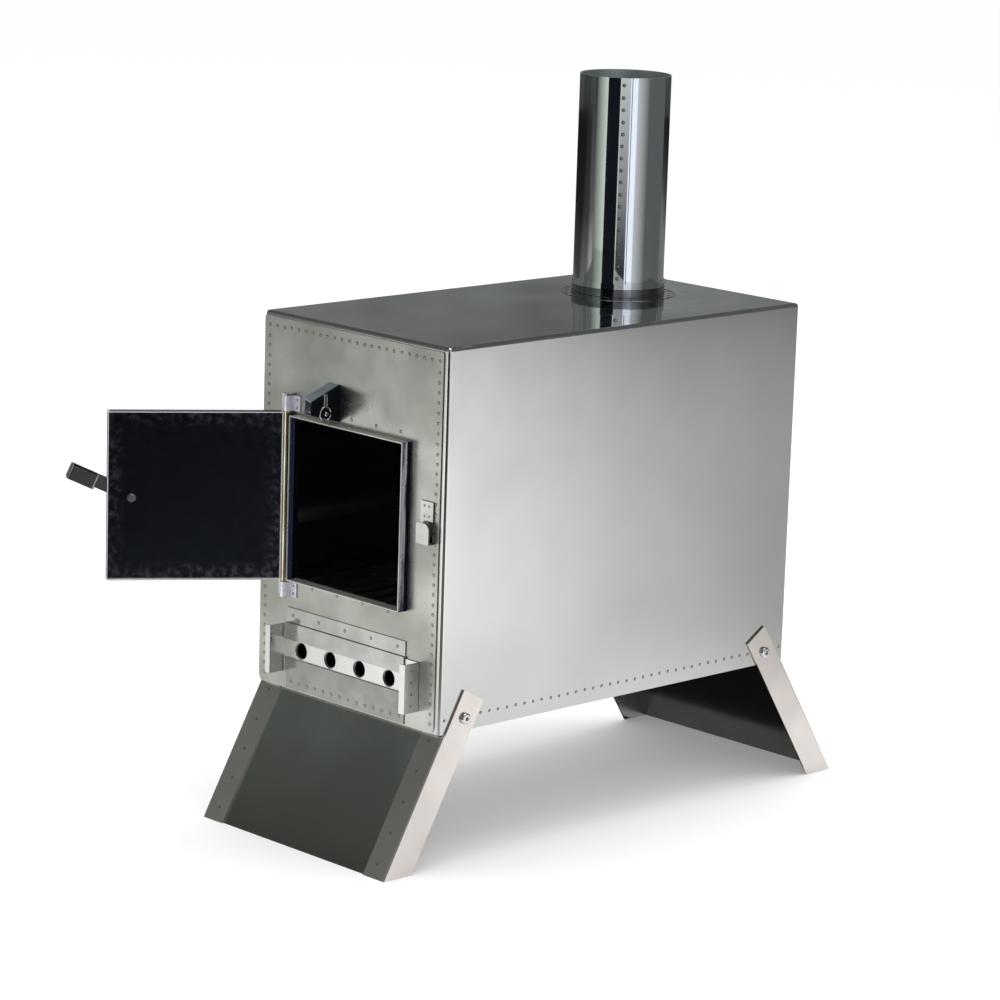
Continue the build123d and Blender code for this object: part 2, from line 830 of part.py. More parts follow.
def leg_nut(y, side):
    start = (side * (nut_x - leg_nut_height), y, leg_pivot_z)
    nut = hexagon(start, (side, 0, 0), leg_nut_flats, leg_nut_height)
    bore = rod(start, (side * washer_x, y, leg_pivot_z), leg_bolt_radius + leg_bolt_hole_gap)
    return (nut - bore).solid()


pieces = {
    "body_wrap": body_wrap(),
    "front_panel": front_panel(),
    "back_panel": back_panel(),
    "bottom_tray": bottom_tray(),
    "door_collar": door_collar(),
    "flue_collar": flue_collar(),
    "hinge_saddle_upper": hinge_saddle(upper_saddle_z),
    "hinge_saddle_lower": hinge_saddle(lower_saddle_z),
    "hinge_rod": hinge_rod(),
    "latch_keeper": latch_keeper(),
    "air_rail_upper": air_rail_upper(),
    "air_rail_lower": air_rail_lower(),
    "hanger_bracket": hanger_bracket(),
    "hanger_bolt": hanger_bolt(),
    "hanger_eye": hanger_eye(),
    "ledge_left": ledge(-1),
    "ledge_right": ledge(1),
    "grate_rail_left": grate_rail(-1),
    "grate_rail_right": grate_rail(1),
    "grate": grate(),
    "leg_bolts": at_pivots(leg_bolt),
    "leg_washers": at_pivots(leg_washer),
    "leg_nuts": at_pivots(leg_nut),
    "door_skin": door_skin(),
    "door_liner": door_liner(),
    "door_barrel": door_barrel(),
    "latch_screw": latch_screw(),
    "latch_nut": latch_nut(),
    "latch_lever": latch_lever(),
    "latch_hook": latch_hook(),
    "air_slide": air_slide(),
    "flue_pipe": flue_pipe(),
}
for end_name, leg_end in leg_ends.items():
    pieces[end_name + "_leg_panel"] = leg_panel(leg_end)
    pieces[end_name + "_leg_angle_left"] = leg_angle(leg_end, -1)
    pieces[end_name + "_leg_angle_right"] = leg_angle(leg_end, 1)

for node, piece in pieces.items():
    export_step(piece, os.path.join("parts", node + ".step"))
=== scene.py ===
# Camping wood stove: steel finishes, spot welds, pipe seam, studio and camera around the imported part.
import json
import math
import bpy
from mathutils import Matrix, Vector


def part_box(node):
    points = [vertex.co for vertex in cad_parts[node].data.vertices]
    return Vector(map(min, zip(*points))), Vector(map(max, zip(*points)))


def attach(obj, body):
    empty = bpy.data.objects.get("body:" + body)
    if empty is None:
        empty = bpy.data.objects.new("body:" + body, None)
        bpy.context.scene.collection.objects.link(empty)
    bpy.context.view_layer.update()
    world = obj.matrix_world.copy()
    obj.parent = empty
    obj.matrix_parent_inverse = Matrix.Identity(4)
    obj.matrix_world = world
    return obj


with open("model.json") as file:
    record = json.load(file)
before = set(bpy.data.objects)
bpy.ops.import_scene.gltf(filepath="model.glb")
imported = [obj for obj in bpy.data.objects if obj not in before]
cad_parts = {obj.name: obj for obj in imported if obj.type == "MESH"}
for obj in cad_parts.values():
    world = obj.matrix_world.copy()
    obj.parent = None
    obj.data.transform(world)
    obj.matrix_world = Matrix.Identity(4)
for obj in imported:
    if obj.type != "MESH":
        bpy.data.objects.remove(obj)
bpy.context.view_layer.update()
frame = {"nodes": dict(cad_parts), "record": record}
nodes = frame["nodes"]
scene = bpy.context.scene
print("frame loaded with", len(nodes), "pieces")


# Camera, at the photograph's place in metres: yaw is turned from +Y, pitch is down, roll leans it over
cameraSetup = {
    "place": (2.30986, -2.26479, 0.95826), "yaw": -46.0402, "pitch": 12.1126, "roll": 1.85476,
    "lens": 137.0, "sensor": 36.0, "nearest": 0.05, "furthest": 60.0,
}


def makeCamera(setup):
    yaw, pitch, roll = (math.radians(setup[k]) for k in ("yaw", "pitch", "roll"))
    ahead = Vector((math.sin(yaw) * math.cos(pitch), math.cos(yaw) * math.cos(pitch), -math.sin(pitch)))
    right = ahead.cross(Vector((0, 0, 1))).normalized()
    up = right.cross(ahead)
    axisX = right * math.cos(roll) + up * math.sin(roll)
    axisY = up * math.cos(roll) - right * math.sin(roll)
    data = bpy.data.cameras.new("photoCamera")
    data.lens = setup["lens"]
    data.sensor_width = setup["sensor"]
    data.clip_start = setup["nearest"]
    data.clip_end = setup["furthest"]
    camera = bpy.data.objects.new("photoCamera", data)
    turn = Matrix((axisX, axisY, -ahead)).transposed().to_4x4()
    camera.matrix_world = Matrix.Translation(setup["place"]) @ turn
    scene.collection.objects.link(camera)
    scene.camera = camera


makeCamera(cameraSetup)
scene.view_settings.view_transform = "Standard"
print("camera set")


# Where the pieces are, in millimetres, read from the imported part
def span(node):
    low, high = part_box(node)
    return [v * 1000 for v in low], [v * 1000 for v in high]


wrapLow, wrapHigh = span("body_wrap")
frontLow, frontHigh = span("front_panel")
backLow, backHigh = span("back_panel")
collarLow, collarHigh = span("door_collar")
upperRailLow, upperRailHigh = span("air_rail_upper")
lowerRailLow, lowerRailHigh = span("air_rail_lower")
keeperLow, keeperHigh = span("latch_keeper")
slideLow, slideHigh = span("air_slide")
pipeLow, pipeHigh = span("flue_pipe")
frontY, backY = frontLow[1], backHigh[1]
flueX, flueY = (pipeLow[0] + pipeHigh[0]) / 2, (pipeLow[1] + pipeHigh[1]) / 2
forward, backward, upward = (0, -1, 0), (0, 1, 0), (0, 0, 1)
rightward, leftward = (1, 0, 0), (-1, 0, 0)
collarFlange = 10  # how far the collar's flange reaches past its walls
collarFace = {
    "left": collarLow[0] + collarFlange, "right": collarHigh[0] - collarFlange,
    "low": collarLow[2] + collarFlange, "high": collarHigh[2] - collarFlange,
}


# Helpers for meshes and node trees
def addMesh(name, verts, faces, material):
    mesh = bpy.data.meshes.new(name)
    mesh.from_pydata(verts, [], faces)
    mesh.materials.append(material)
    obj = bpy.data.objects.new(name, mesh)
    scene.collection.objects.link(obj)
    return obj


def hexColour(text):  # sRGB hex to linear
    parts = [int(text[i:i + 2], 16) / 255 for i in (1, 3, 5)]
    return [p / 12.92 if p <= 0.04045 else ((p + 0.055) / 1.055) ** 2.4 for p in parts] + [1.0]


def addNode(tree, kind, settings=None, links=None):
    node = tree.nodes.new(kind)
    for key, value in (settings or {}).items():
        if isinstance(key, str) and hasattr(node, key):
            setattr(node, key, value)
        else:
            node.inputs[key].default_value = value
    for key, source in (links or {}).items():
        tree.links.new(source, node.inputs[key])
    return node


def newMaterial(name):
    material = bpy.data.materials.new(name)
    material.use_nodes = True
    tree = material.node_tree
    tree.nodes.clear()
    return material, tree


def fillRamp(ramp, stops):  # stops are (position, colour)
    while len(ramp.color_ramp.elements) < len(stops):
        ramp.color_ramp.elements.new(0.5)
    for element, (position, colour) in zip(ramp.color_ramp.elements, stops):
        element.position = position
        element.color = colour


# A soft patchy value in 0..1 that runs over the piece; size is the patch size in millimetres
def patches(tree, place, size, stretch=(1, 1, 1), low=0.2, high=0.8, detail=2.5, roughness=0.55):
    scale = 1000 / size
    mapping = addNode(tree, "ShaderNodeMapping", {"Scale": [scale * s for s in stretch]}, {"Vector": place})
    noise = addNode(
        tree, "ShaderNodeTexNoise", {"Scale": 1.0, "Detail": detail, "Roughness": roughness},
        {"Vector": mapping.outputs[0]},
    )
    return addNode(
        tree, "ShaderNodeMapRange", {"interpolation_type": "SMOOTHSTEP", "From Min": low, "From Max": high},
        {"Value": noise.outputs[0]},
    ).outputs[0]


# Thin lines in one direction, for hand scratches: 1 on a scratch, 0 off it. Real ones are hairlines, too fine
# to show, so these are drawn millimetres apart.
scratchLine = {"squeeze": 0.035, "detail": 2.0, "roughness": 0.7, "from": 0.66, "to": 0.70}


def scratches(tree, place, spacing, turn, share):
    across = 1000 / spacing
    along = across * scratchLine["squeeze"]
    mapping = addNode(
        tree, "ShaderNodeMapping", {"Rotation": turn, "Scale": (across, along, along)}, {"Vector": place}
    )
    noise = addNode(
        tree, "ShaderNodeTexNoise",
        {"Scale": 1.0, "Detail": scratchLine["detail"], "Roughness": scratchLine["roughness"]},
        {"Vector": mapping.outputs[0]},
    )
    low, high = scratchLine["from"] - share, scratchLine["to"] - share
    return addNode(
        tree, "ShaderNodeMapRange", {"From Min": low, "From Max": high}, {"Value": noise.outputs[0]}
    ).outputs[0]


# How far a point is from the middle of a reach, in metres; the reach is a direction with its two ends
def fromMiddle(tree, place, direction, low, high):
    along = addNode(tree, "ShaderNodeVectorMath", {"operation": "DOT_PRODUCT", 1: direction}, {0: place})
    offset = addNode(
        tree, "ShaderNodeMath", {"operation": "SUBTRACT", 1: (low + high) / 2000}, {0: along.outputs["Value"]}
    )
    return addNode(tree, "ShaderNodeMath", {"operation": "ABSOLUTE"}, {0: offset.outputs[0]}).outputs[0]


# Marks laid over a finish, some of them painted light or shade. Each takes the colour or roughness so far and
# gives it back with its mark laid over it.
def darkReflectionCheek(tree, place, colour, look):  # one cheek's colour set almost black: a painted dark reflection of the room
    along = addNode(tree, "ShaderNodeSeparateXYZ", {}, {0: place}).outputs[0]
    beyond = addNode(
        tree, "ShaderNodeMath", {"operation": "GREATER_THAN", 1: look["darkCheek"]["from"] / 1000}, {0: along}
    )
    return addNode(
        tree, "ShaderNodeMix", {"data_type": "RGBA", 7: hexColour(look["darkCheek"]["tint"])},
        {0: beyond.outputs[0], 6: colour},
    ).outputs[2]


def paintedShadeTowardsGround(tree, place, colour, look):  # painted shade: the sheet's colour darkens towards the ground
    height = addNode(tree, "ShaderNodeSeparateXYZ", {}, {0: place}).outputs[2]
    groundShadeAmount = addNode(
        tree, "ShaderNodeMapRange",
        {"From Min": 0.0, "From Max": look["groundShade"]["to"] / 1000, "To Min": 1.0, "To Max": 0.0},
        {"Value": height},
    )
    return addNode(
        tree, "ShaderNodeMix", {"data_type": "RGBA", 7: hexColour(look["groundShade"]["tint"])},
        {0: groundShadeAmount.outputs[0], 6: colour},
    ).outputs[2]


def paleBorderBand(tree, place, colour, look):  # a paler, patchy band round the sheet's border
    border = look["border"]
    sides = []
    for direction, low, high in border["reaches"]:
        half = (high - low) / 2000
        sides.append(addNode(
            tree, "ShaderNodeMapRange", {"From Min": half - border["width"] / 1000, "From Max": half},
            {"Value": fromMiddle(tree, place, direction, low, high)},
        ).outputs[0])
    near = addNode(tree, "ShaderNodeMath", {"operation": "MAXIMUM"}, {0: sides[0], 1: sides[1]})
    borderPatches = patches(tree, place, **border["borderPatches"])
    amount = addNode(tree, "ShaderNodeMath", {"operation": "MULTIPLY"}, {0: near.outputs[0], 1: borderPatches})
    return addNode(
        tree, "ShaderNodeMix", {"data_type": "RGBA", 7: hexColour(border["tint"])},
        {0: amount.outputs[0], 6: colour},
    ).outputs[2]


def paintedLightWalls(tree, place, colour, look):  # two upright walls: painted reflection behind their rim and painted shade deeper in
    walls = look["walls"]
    split = addNode(tree, "ShaderNodeSeparateXYZ", {}, {0: place})
    masks = {}
    for mask, axis in (("deepShade", 1), ("rim", 1), ("left", 0), ("right", 0)):
        side = "LESS_THAN" if mask == "left" else "GREATER_THAN"
        masks[mask] = addNode(
            tree, "ShaderNodeMath", {"operation": side, 1: walls[mask] / 1000}, {0: split.outputs[axis]}
        ).outputs[0]
    wall = addNode(
        tree, "ShaderNodeMix",
        {"data_type": "RGBA", 6: hexColour(walls["rightTint"]), 7: hexColour(walls["rightDark"])},
        {0: patches(tree, place, **walls["blotch"])},
    )
    for mask, tint in (("left", "leftTint"), ("deepShade", "paintedShadeTint")):
        wall = addNode(
            tree, "ShaderNodeMix", {"data_type": "RGBA", 7: hexColour(walls[tint])},
            {0: masks[mask], 6: wall.outputs[2]},
        )
    either = addNode(tree, "ShaderNodeMath", {"operation": "MAXIMUM"}, {0: masks["left"], 1: masks["right"]})
    tinted = addNode(tree, "ShaderNodeMath", {"operation": "MULTIPLY"}, {0: either.outputs[0], 1: masks["rim"]})
    return addNode(
        tree, "ShaderNodeMix", {"data_type": "RGBA"}, {0: tinted.outputs[0], 6: colour, 7: wall.outputs[2]}
    ).outputs[2]


def clearPlate(tree, place, rough, look):  # a top plate clearer than the sides, with scratches on it
    plate = look["plate"]
    height = addNode(tree, "ShaderNodeSeparateXYZ", {}, {0: place}).outputs[2]
    onPlate = addNode(
        tree, "ShaderNodeMath", {"operation": "GREATER_THAN", 1: plate["from"] / 1000}, {0: height}
    ).outputs[0]
    lines = [scratches(tree, place, plate["spacing"], turn, plate["share"]) for turn in plate["turns"]]
    scratched = lines[0]
    for line in lines[1:]:
        both = addNode(tree, "ShaderNodeMath", {"operation": "MAXIMUM"}, {0: scratched, 1: line})
        scratched = both.outputs[0]
    kept = addNode(tree, "ShaderNodeMath", {"operation": "MULTIPLY"}, {0: scratched, 1: onPlate})
    marked = addNode(
        tree, "ShaderNodeMath", {"operation": "MULTIPLY_ADD", 1: plate["scratch"]},
        {0: kept.outputs[0], 2: rough},
    ).outputs[0]
    lift = plate["smooth"] - plate["contrast"] * look["smooth"]
    clearer = addNode(
        tree, "ShaderNodeMath", {"operation": "MULTIPLY_ADD", 1: plate["contrast"], 2: lift}, {0: marked}
    )
    return addNode(
        tree, "ShaderNodeMix", {"data_type": "FLOAT"}, {0: onPlate, 2: marked, 3: clearer.outputs[0]}
    ).outputs[0]


def unpolishedBore(tree, place, rough, look):  # the inside of the pipe was never polished
    bore = look["bore"]
    axis = (flueX / 1000, flueY / 1000, 0)
    away = addNode(tree, "ShaderNodeVectorMath", {"operation": "SUBTRACT", 1: axis}, {0: place})
    away = addNode(tree, "ShaderNodeVectorMath", {"operation": "MULTIPLY", 1: (1, 1, 0)}, {0: away.outputs[0]})
    away = addNode(tree, "ShaderNodeVectorMath", {"operation": "LENGTH"}, {0: away.outputs[0]})
    inside = addNode(
        tree, "ShaderNodeMath", {"operation": "LESS_THAN", 1: bore["radius"] / 1000}, {0: away.outputs["Value"]}
    )
    return addNode(
        tree, "ShaderNodeMix", {"data_type": "FLOAT", 3: bore["rough"]}, {0: inside.outputs[0], 2: rough}
    ).outputs[0]


# Cut edges carry a painted highlight: a near white, dull band that stays bright
def paintedBrightEdges(tree, place, colour, shader, edges):
    inner, outer = edges["band"]
    bands = []
    for direction, low, high in edges["reaches"]:
        middle, half = (high - low) / 2000 - (inner + outer) / 2000, (outer - inner) / 2000
        bands.append(addNode(
            tree, "ShaderNodeMath", {"operation": "COMPARE", 1: middle, 2: half},
            {0: fromMiddle(tree, place, direction, low, high)},
        ).outputs[0])
    onEdge = addNode(tree, "ShaderNodeMath", {"operation": "MAXIMUM"}, {0: bands[0], 1: bands[1]}).outputs[0]
    tint = addNode(
        tree, "ShaderNodeMix", {"data_type": "RGBA", 7: hexColour(edges["tint"])}, {0: onEdge, 6: colour}
    )
    metal = addNode(tree, "ShaderNodeMapRange", {"To Min": 1.0, "To Max": edges["metal"]}, {"Value": onEdge})
    tree.links.new(tint.outputs[2], shader.inputs["Base Color"])
    tree.links.new(metal.outputs[0], shader.inputs["Metallic"])


colourMarks = {"darkCheek": darkReflectionCheek, "groundShade": paintedShadeTowardsGround, "border": paleBorderBand, "walls": paintedLightWalls}
roughMarks = {"plate": clearPlate, "bore": unpolishedBore}
handling = {"finer": 7, "low": 0.3, "high": 0.7, "detail": 5.0, "share": 0.35}


# Stainless sheet: cold-rolled, so a soft mirror, clouded where it was handled and gently wavy as thin sheet is
def sheetSteel(look):
    material, tree = newMaterial(look["name"])
    place = addNode(tree, "ShaderNodeTexCoord").outputs["Object"]
    clouds = patches(tree, place, look["cloudSize"], look.get("cloudStretch", (1, 1, 1)))
    colour = addNode(
        tree, "ShaderNodeMix", {"data_type": "RGBA", 6: hexColour(look["light"]), 7: hexColour(look["dark"])},
        {0: clouds},
    ).outputs[2]
    fine = patches(
        tree, place, look["cloudSize"] / handling["finer"], (1, 1, 1), handling["low"], handling["high"],
        handling["detail"],
    )
    handled = addNode(
        tree, "ShaderNodeMath", {"operation": "MULTIPLY_ADD", 1: handling["share"]}, {0: fine, 2: clouds}
    )
    rough = addNode(
        tree, "ShaderNodeMapRange",
        {"From Min": 0.0, "From Max": 1 + handling["share"], "To Min": look["smooth"], "To Max": look["rough"]},
        {"Value": handled.outputs[0]},
    ).outputs[0]
    for mark, layOver in colourMarks.items():
        if mark in look:
            colour = layOver(tree, place, colour, look)
    for mark, layOver in roughMarks.items():
        if mark in look:
            rough = layOver(tree, place, rough, look)
    wave = addNode(
        tree, "ShaderNodeTexNoise", {"Scale": 1000 / look["waveSize"], "Detail": 1.0}, {"Vector": place}
    )
    bump = addNode(
        tree, "ShaderNodeBump", {"Strength": 1.0, "Distance": look["waveDepth"] / 1000},
        {"Height": wave.outputs[0]},
    )
    shader = addNode(
        tree, "ShaderNodeBsdfPrincipled", {"Metallic": look.get("metal", 1.0)},
        {"Base Color": colour, "Roughness": rough, "Normal": bump.outputs[0]},
    )
    if "edges" in look:
        paintedBrightEdges(tree, place, colour, shader, look["edges"])
    addNode(tree, "ShaderNodeOutputMaterial", {}, {"Surface": shader.outputs[0]})
    return material


# How far the open door's sheet reaches, up its height and along its width from the hinge
doorAlong = Vector((-0.5736, -0.8192, 0.0))
doorReaches = []
for direction in (Vector(upward), doorAlong):
    reach = [vertex.co.dot(direction) * 1000 for vertex in nodes["door_skin"].data.vertices]
    doorReaches.append((direction, min(reach), max(reach)))

# The collar's two upright walls carry a painted reflection, blue and pale lavender, to a few millimetres behind
# the rim and painted shade beyond
wallDepths = {"wall": 1.5, "rim": 0.9, "deepShade": 5.8}
collarWalls = {
    "left": collarFace["left"] + wallDepths["wall"], "right": collarFace["right"] - wallDepths["wall"],
    "rim": collarLow[1] + wallDepths["rim"], "deepShade": collarLow[1] + wallDepths["deepShade"],
    "leftTint": "#474d70", "rightTint": "#e6e3f2", "rightDark": "#565b78", "paintedShadeTint": "#14161f",
    "blotch": {"size": 7.0, "stretch": (1, 1, 0.12), "low": 0.42, "high": 0.58},
}

# Sizes are in millimetres: cloudSize is a handled patch, waveSize and waveDepth are the sheet's own waviness
finishes = {
    "body_sheet": {  # cold-rolled sheet: satin sides that fade softly, under a clear, scratched top plate
        "name": "stainlessBodySheet", "light": "#c6c7c5", "dark": "#b9bbb8", "cloudSize": 150.0, "smooth": 0.14,
        "rough": 0.20, "waveSize": 150.0, "waveDepth": 0.7,
        "plate": {
            "from": 434.0, "smooth": 0.035, "contrast": 0.5, "scratch": 0.36, "spacing": 2.2, "share": 0.03,
            "turns": [(0, 0, 0.3), (0, 0, -0.5), (0, 0, 1.2)],
        },
    },
    "front_sheet": {  # the same sheet, dulled by heat and hands: blurred, uneven grey
        "name": "stainlessFrontSheet", "light": "#c3c6bd", "dark": "#a3a69c", "cloudSize": 48.0, "smooth": 0.24,
        "rough": 0.38, "waveSize": 90.0, "waveDepth": 0.7,
    },
    "welded_fittings": {  # small bent strips, brighter than the panel behind them
        "name": "stainlessFittings", "light": "#c6c8c4", "dark": "#adb0ab", "cloudSize": 24.0, "smooth": 0.10,
        "rough": 0.20, "waveSize": 40.0, "waveDepth": 0.3,
    },
    "door_inner_sheet": {  # sheet darkened by the fire: near black and blue, paler in patches round its border
        "name": "heatDarkenedLiner", "light": "#3b404d", "dark": "#2b2f39", "cloudSize": 70.0, "smooth": 0.16,
        "rough": 0.28, "waveSize": 120.0, "waveDepth": 0.4,
        "border": {
            "reaches": doorReaches, "width": 16.0, "tint": "#8a8492",
            "borderPatches": {"size": 5.0, "low": 0.42, "high": 0.75, "detail": 6.0},
        },
    },
    "hanger_sheet": {  # bracket with one cheek pale and the other painted almost black, a painted dark reflection
        "name": "hangerDarkReflection", "light": "#bcc3ce", "dark": "#a2a9b5", "cloudSize": 20.0, "smooth": 0.16,
        "rough": 0.26, "waveSize": 40.0, "waveDepth": 0.2, "metal": 0.75,
        "darkCheek": {"from": -17.5, "tint": "#1c2028"},
    },
    "door_outer_sheet": {  # satin door pan with a painted highlight along its cut edges
        "name": "stainlessDoorSkin", "light": "#b3b6b5", "dark": "#9b9f9f", "cloudSize": 60.0, "smooth": 0.14,
        "rough": 0.26, "waveSize": 90.0, "waveDepth": 0.5,
        "edges": {"reaches": doorReaches, "band": (0.3, 1.5), "tint": "#e9e9ea", "metal": 0.25},
    },
    "collar_sheet": {  # dull rim, with a painted blue and lavender reflection just inside it and painted shade deeper in
        "name": "collarWithPaintedLight", "light": "#cfd1cc", "dark": "#b3b5b0", "cloudSize": 30.0, "smooth": 0.20,
        "rough": 0.34, "waveSize": 60.0, "waveDepth": 0.2, "metal": 0.6, "walls": collarWalls,
    },
    "saddle_sheet": {  # pale pressed hinge loops with a painted lavender reflection, too dull to mirror the dark room
        "name": "stainlessHingeSaddle", "light": "#e9e7f0", "dark": "#c9c7d2", "cloudSize": 8.0, "smooth": 0.24,
        "rough": 0.38, "waveSize": 20.0, "waveDepth": 0.1, "metal": 0.55,
    },
    "rear_web_sheet": {  # darkened with painted shade, for the shade it stands in under the stove
        "name": "rearWebPaintedShade", "light": "#6d6f6b", "dark": "#585a56", "cloudSize": 80.0, "smooth": 0.16,
        "rough": 0.26, "waveSize": 90.0, "waveDepth": 0.4,
    },
    "slide_sheet": {  # rubbed pale by its rails
        "name": "stainlessAirSlide", "light": "#e6e8e3", "dark": "#d9dbd6", "cloudSize": 30.0, "smooth": 0.24,
        "rough": 0.36, "waveSize": 60.0, "waveDepth": 0.3,
    },
    "lower_rail_sheet": {  # a duller strip under the slide
        "name": "stainlessLowerRail", "light": "#a3a6a0", "dark": "#8b8e88", "cloudSize": 24.0, "smooth": 0.16,
        "rough": 0.28, "waveSize": 40.0, "waveDepth": 0.3,
    },
    "heat_tinted_steel": {  # straw temper colour
        "name": "strawTintedSteel", "light": "#cfc8ae", "dark": "#a89a76", "cloudSize": 30.0, "smooth": 0.12,
        "rough": 0.26, "waveSize": 30.0, "waveDepth": 0.2,
    },
    "flue_ring": {  # pressed sheet round the pipe: a small mirror, its colour darkened as painted shade and dark reflection
        "name": "pressedFlueRing", "light": "#8b8e92", "dark": "#5c5f63", "cloudSize": 20.0, "smooth": 0.06,
        "rough": 0.14, "waveSize": 30.0, "waveDepth": 0.2,
    },
    "pipe_sheet": {  # bright rolled sheet: sharp upright bands outside, a dull bore inside
        "name": "brightPipeSheet", "light": "#d0d4d4", "dark": "#c2c7c7", "cloudSize": 60.0,
        "cloudStretch": (1, 1, 0.2), "smooth": 0.035, "rough": 0.075, "waveSize": 90.0, "waveDepth": 0.25,
        "bore": {"radius": 39.5, "rough": 0.55},
    },
    "leg_web_sheet": {  # mirrors the pale floor dimly, with painted shade darkening it towards the ground
        "name": "stainlessLegWeb", "light": "#b9bcb6", "dark": "#9da09a", "cloudSize": 80.0, "smooth": 0.16,
        "rough": 0.26, "waveSize": 90.0, "waveDepth": 0.4, "groundShade": {"to": 100.0, "tint": "#7b7e76"},
    },
    "leg_angle_sheet": {  # pale, slightly warm thick sheet
        "name": "stainlessLegAngle", "light": "#dcd6d2", "dark": "#cbc5c0", "cloudSize": 60.0, "smooth": 0.16,
        "rough": 0.26, "waveSize": 60.0, "waveDepth": 0.2,
    },
    "latch_sheet": {  # flat strap with a plain satin shine
        "name": "stainlessLatchStrap", "light": "#b8bab9", "dark": "#8b8e90", "cloudSize": 20.0, "smooth": 0.12,
        "rough": 0.24, "waveSize": 30.0, "waveDepth": 0.2,
    },
    "bright_fastener": {  # zinc plate: small sharp glints
        "name": "zincFastener", "light": "#d6d9da", "dark": "#b9bcbd", "cloudSize": 6.0, "smooth": 0.12,
        "rough": 0.22, "waveSize": 8.0, "waveDepth": 0.03,
    },
    "steel_wire": {  # drawn wire: one thin highlight
        "name": "drawnSteelWire", "light": "#cfd1d1", "dark": "#a8aaaa", "cloudSize": 8.0, "smooth": 0.12,
        "rough": 0.22, "waveSize": 8.0, "waveDepth": 0.02,
    },
    "inner_sheet": {  # mill finish: no mirror at all
        "name": "millFinishInnerSheet", "light": "#b4b9b6", "dark": "#8e938f", "cloudSize": 60.0, "smooth": 0.34,
        "rough": 0.50, "waveSize": 80.0, "waveDepth": 0.4,
    },
}
# Pieces that share a slot in the record and look different in the photograph
ownFinish = {
    "hanger_bracket": "hanger_sheet", "air_slide": "slide_sheet", "air_rail_lower": "lower_rail_sheet",
    "door_collar": "collar_sheet", "rear_leg_panel": "rear_web_sheet",
    "hinge_saddle_upper": "saddle_sheet", "hinge_saddle_lower": "saddle_sheet",
}
materials = {finish: sheetSteel(look) for finish, look in finishes.items()}
slotOf = {part["node"]: part["material_slot"] for part in frame["record"]["subparts"]}
for node, obj in nodes.items():
    obj.data.materials.clear()
    obj.data.materials.append(materials[ownFinish.get(node, slotOf[node])])
print("steel finishes given to every piece")


# Spot welds: shallow dimples with a dark heated ring. Points and sizes are in millimetres.
spotWeld = {"width": 3.0, "height": 0.5, "jitter": 0.35, "seed": 7, "segments": 12, "rings": 7}
smallWeld = {"width": 2.2, "jitter": 0.15}
# Steel fused under a copper tip: a bright middle in a burnt ring, brown where copper was left behind
weldLooks = {
    "spotWeldSteel": {"centre": (0.35, "#b9b9b2"), "ring": (0.75, "#4a4a46"), "rough": 0.34},
    "spotWeldCopper": {"centre": (0.35, "#b59a86"), "ring": (0.75, "#6b4c3c"), "rough": 0.38},
}


def weldMaterial(name, look):
    material, tree = newMaterial(name)
    reach = addNode(tree, "ShaderNodeAttribute", {"attribute_name": "weldReach"})
    ramp = addNode(tree, "ShaderNodeValToRGB", {}, {0: reach.outputs["Fac"]})
    fillRamp(ramp, [(position, hexColour(text)) for position, text in (look["centre"], look["ring"])])
    shader = addNode(
        tree, "ShaderNodeBsdfPrincipled", {"Metallic": 1.0, "Roughness": look["rough"]},
        {"Base Color": ramp.outputs[0]},
    )
    addNode(tree, "ShaderNodeOutputMaterial", {}, {"Surface": shader.outputs[0]})
    return material


steelWeld, copperWeld = (weldMaterial(name, look) for name, look in weldLooks.items())


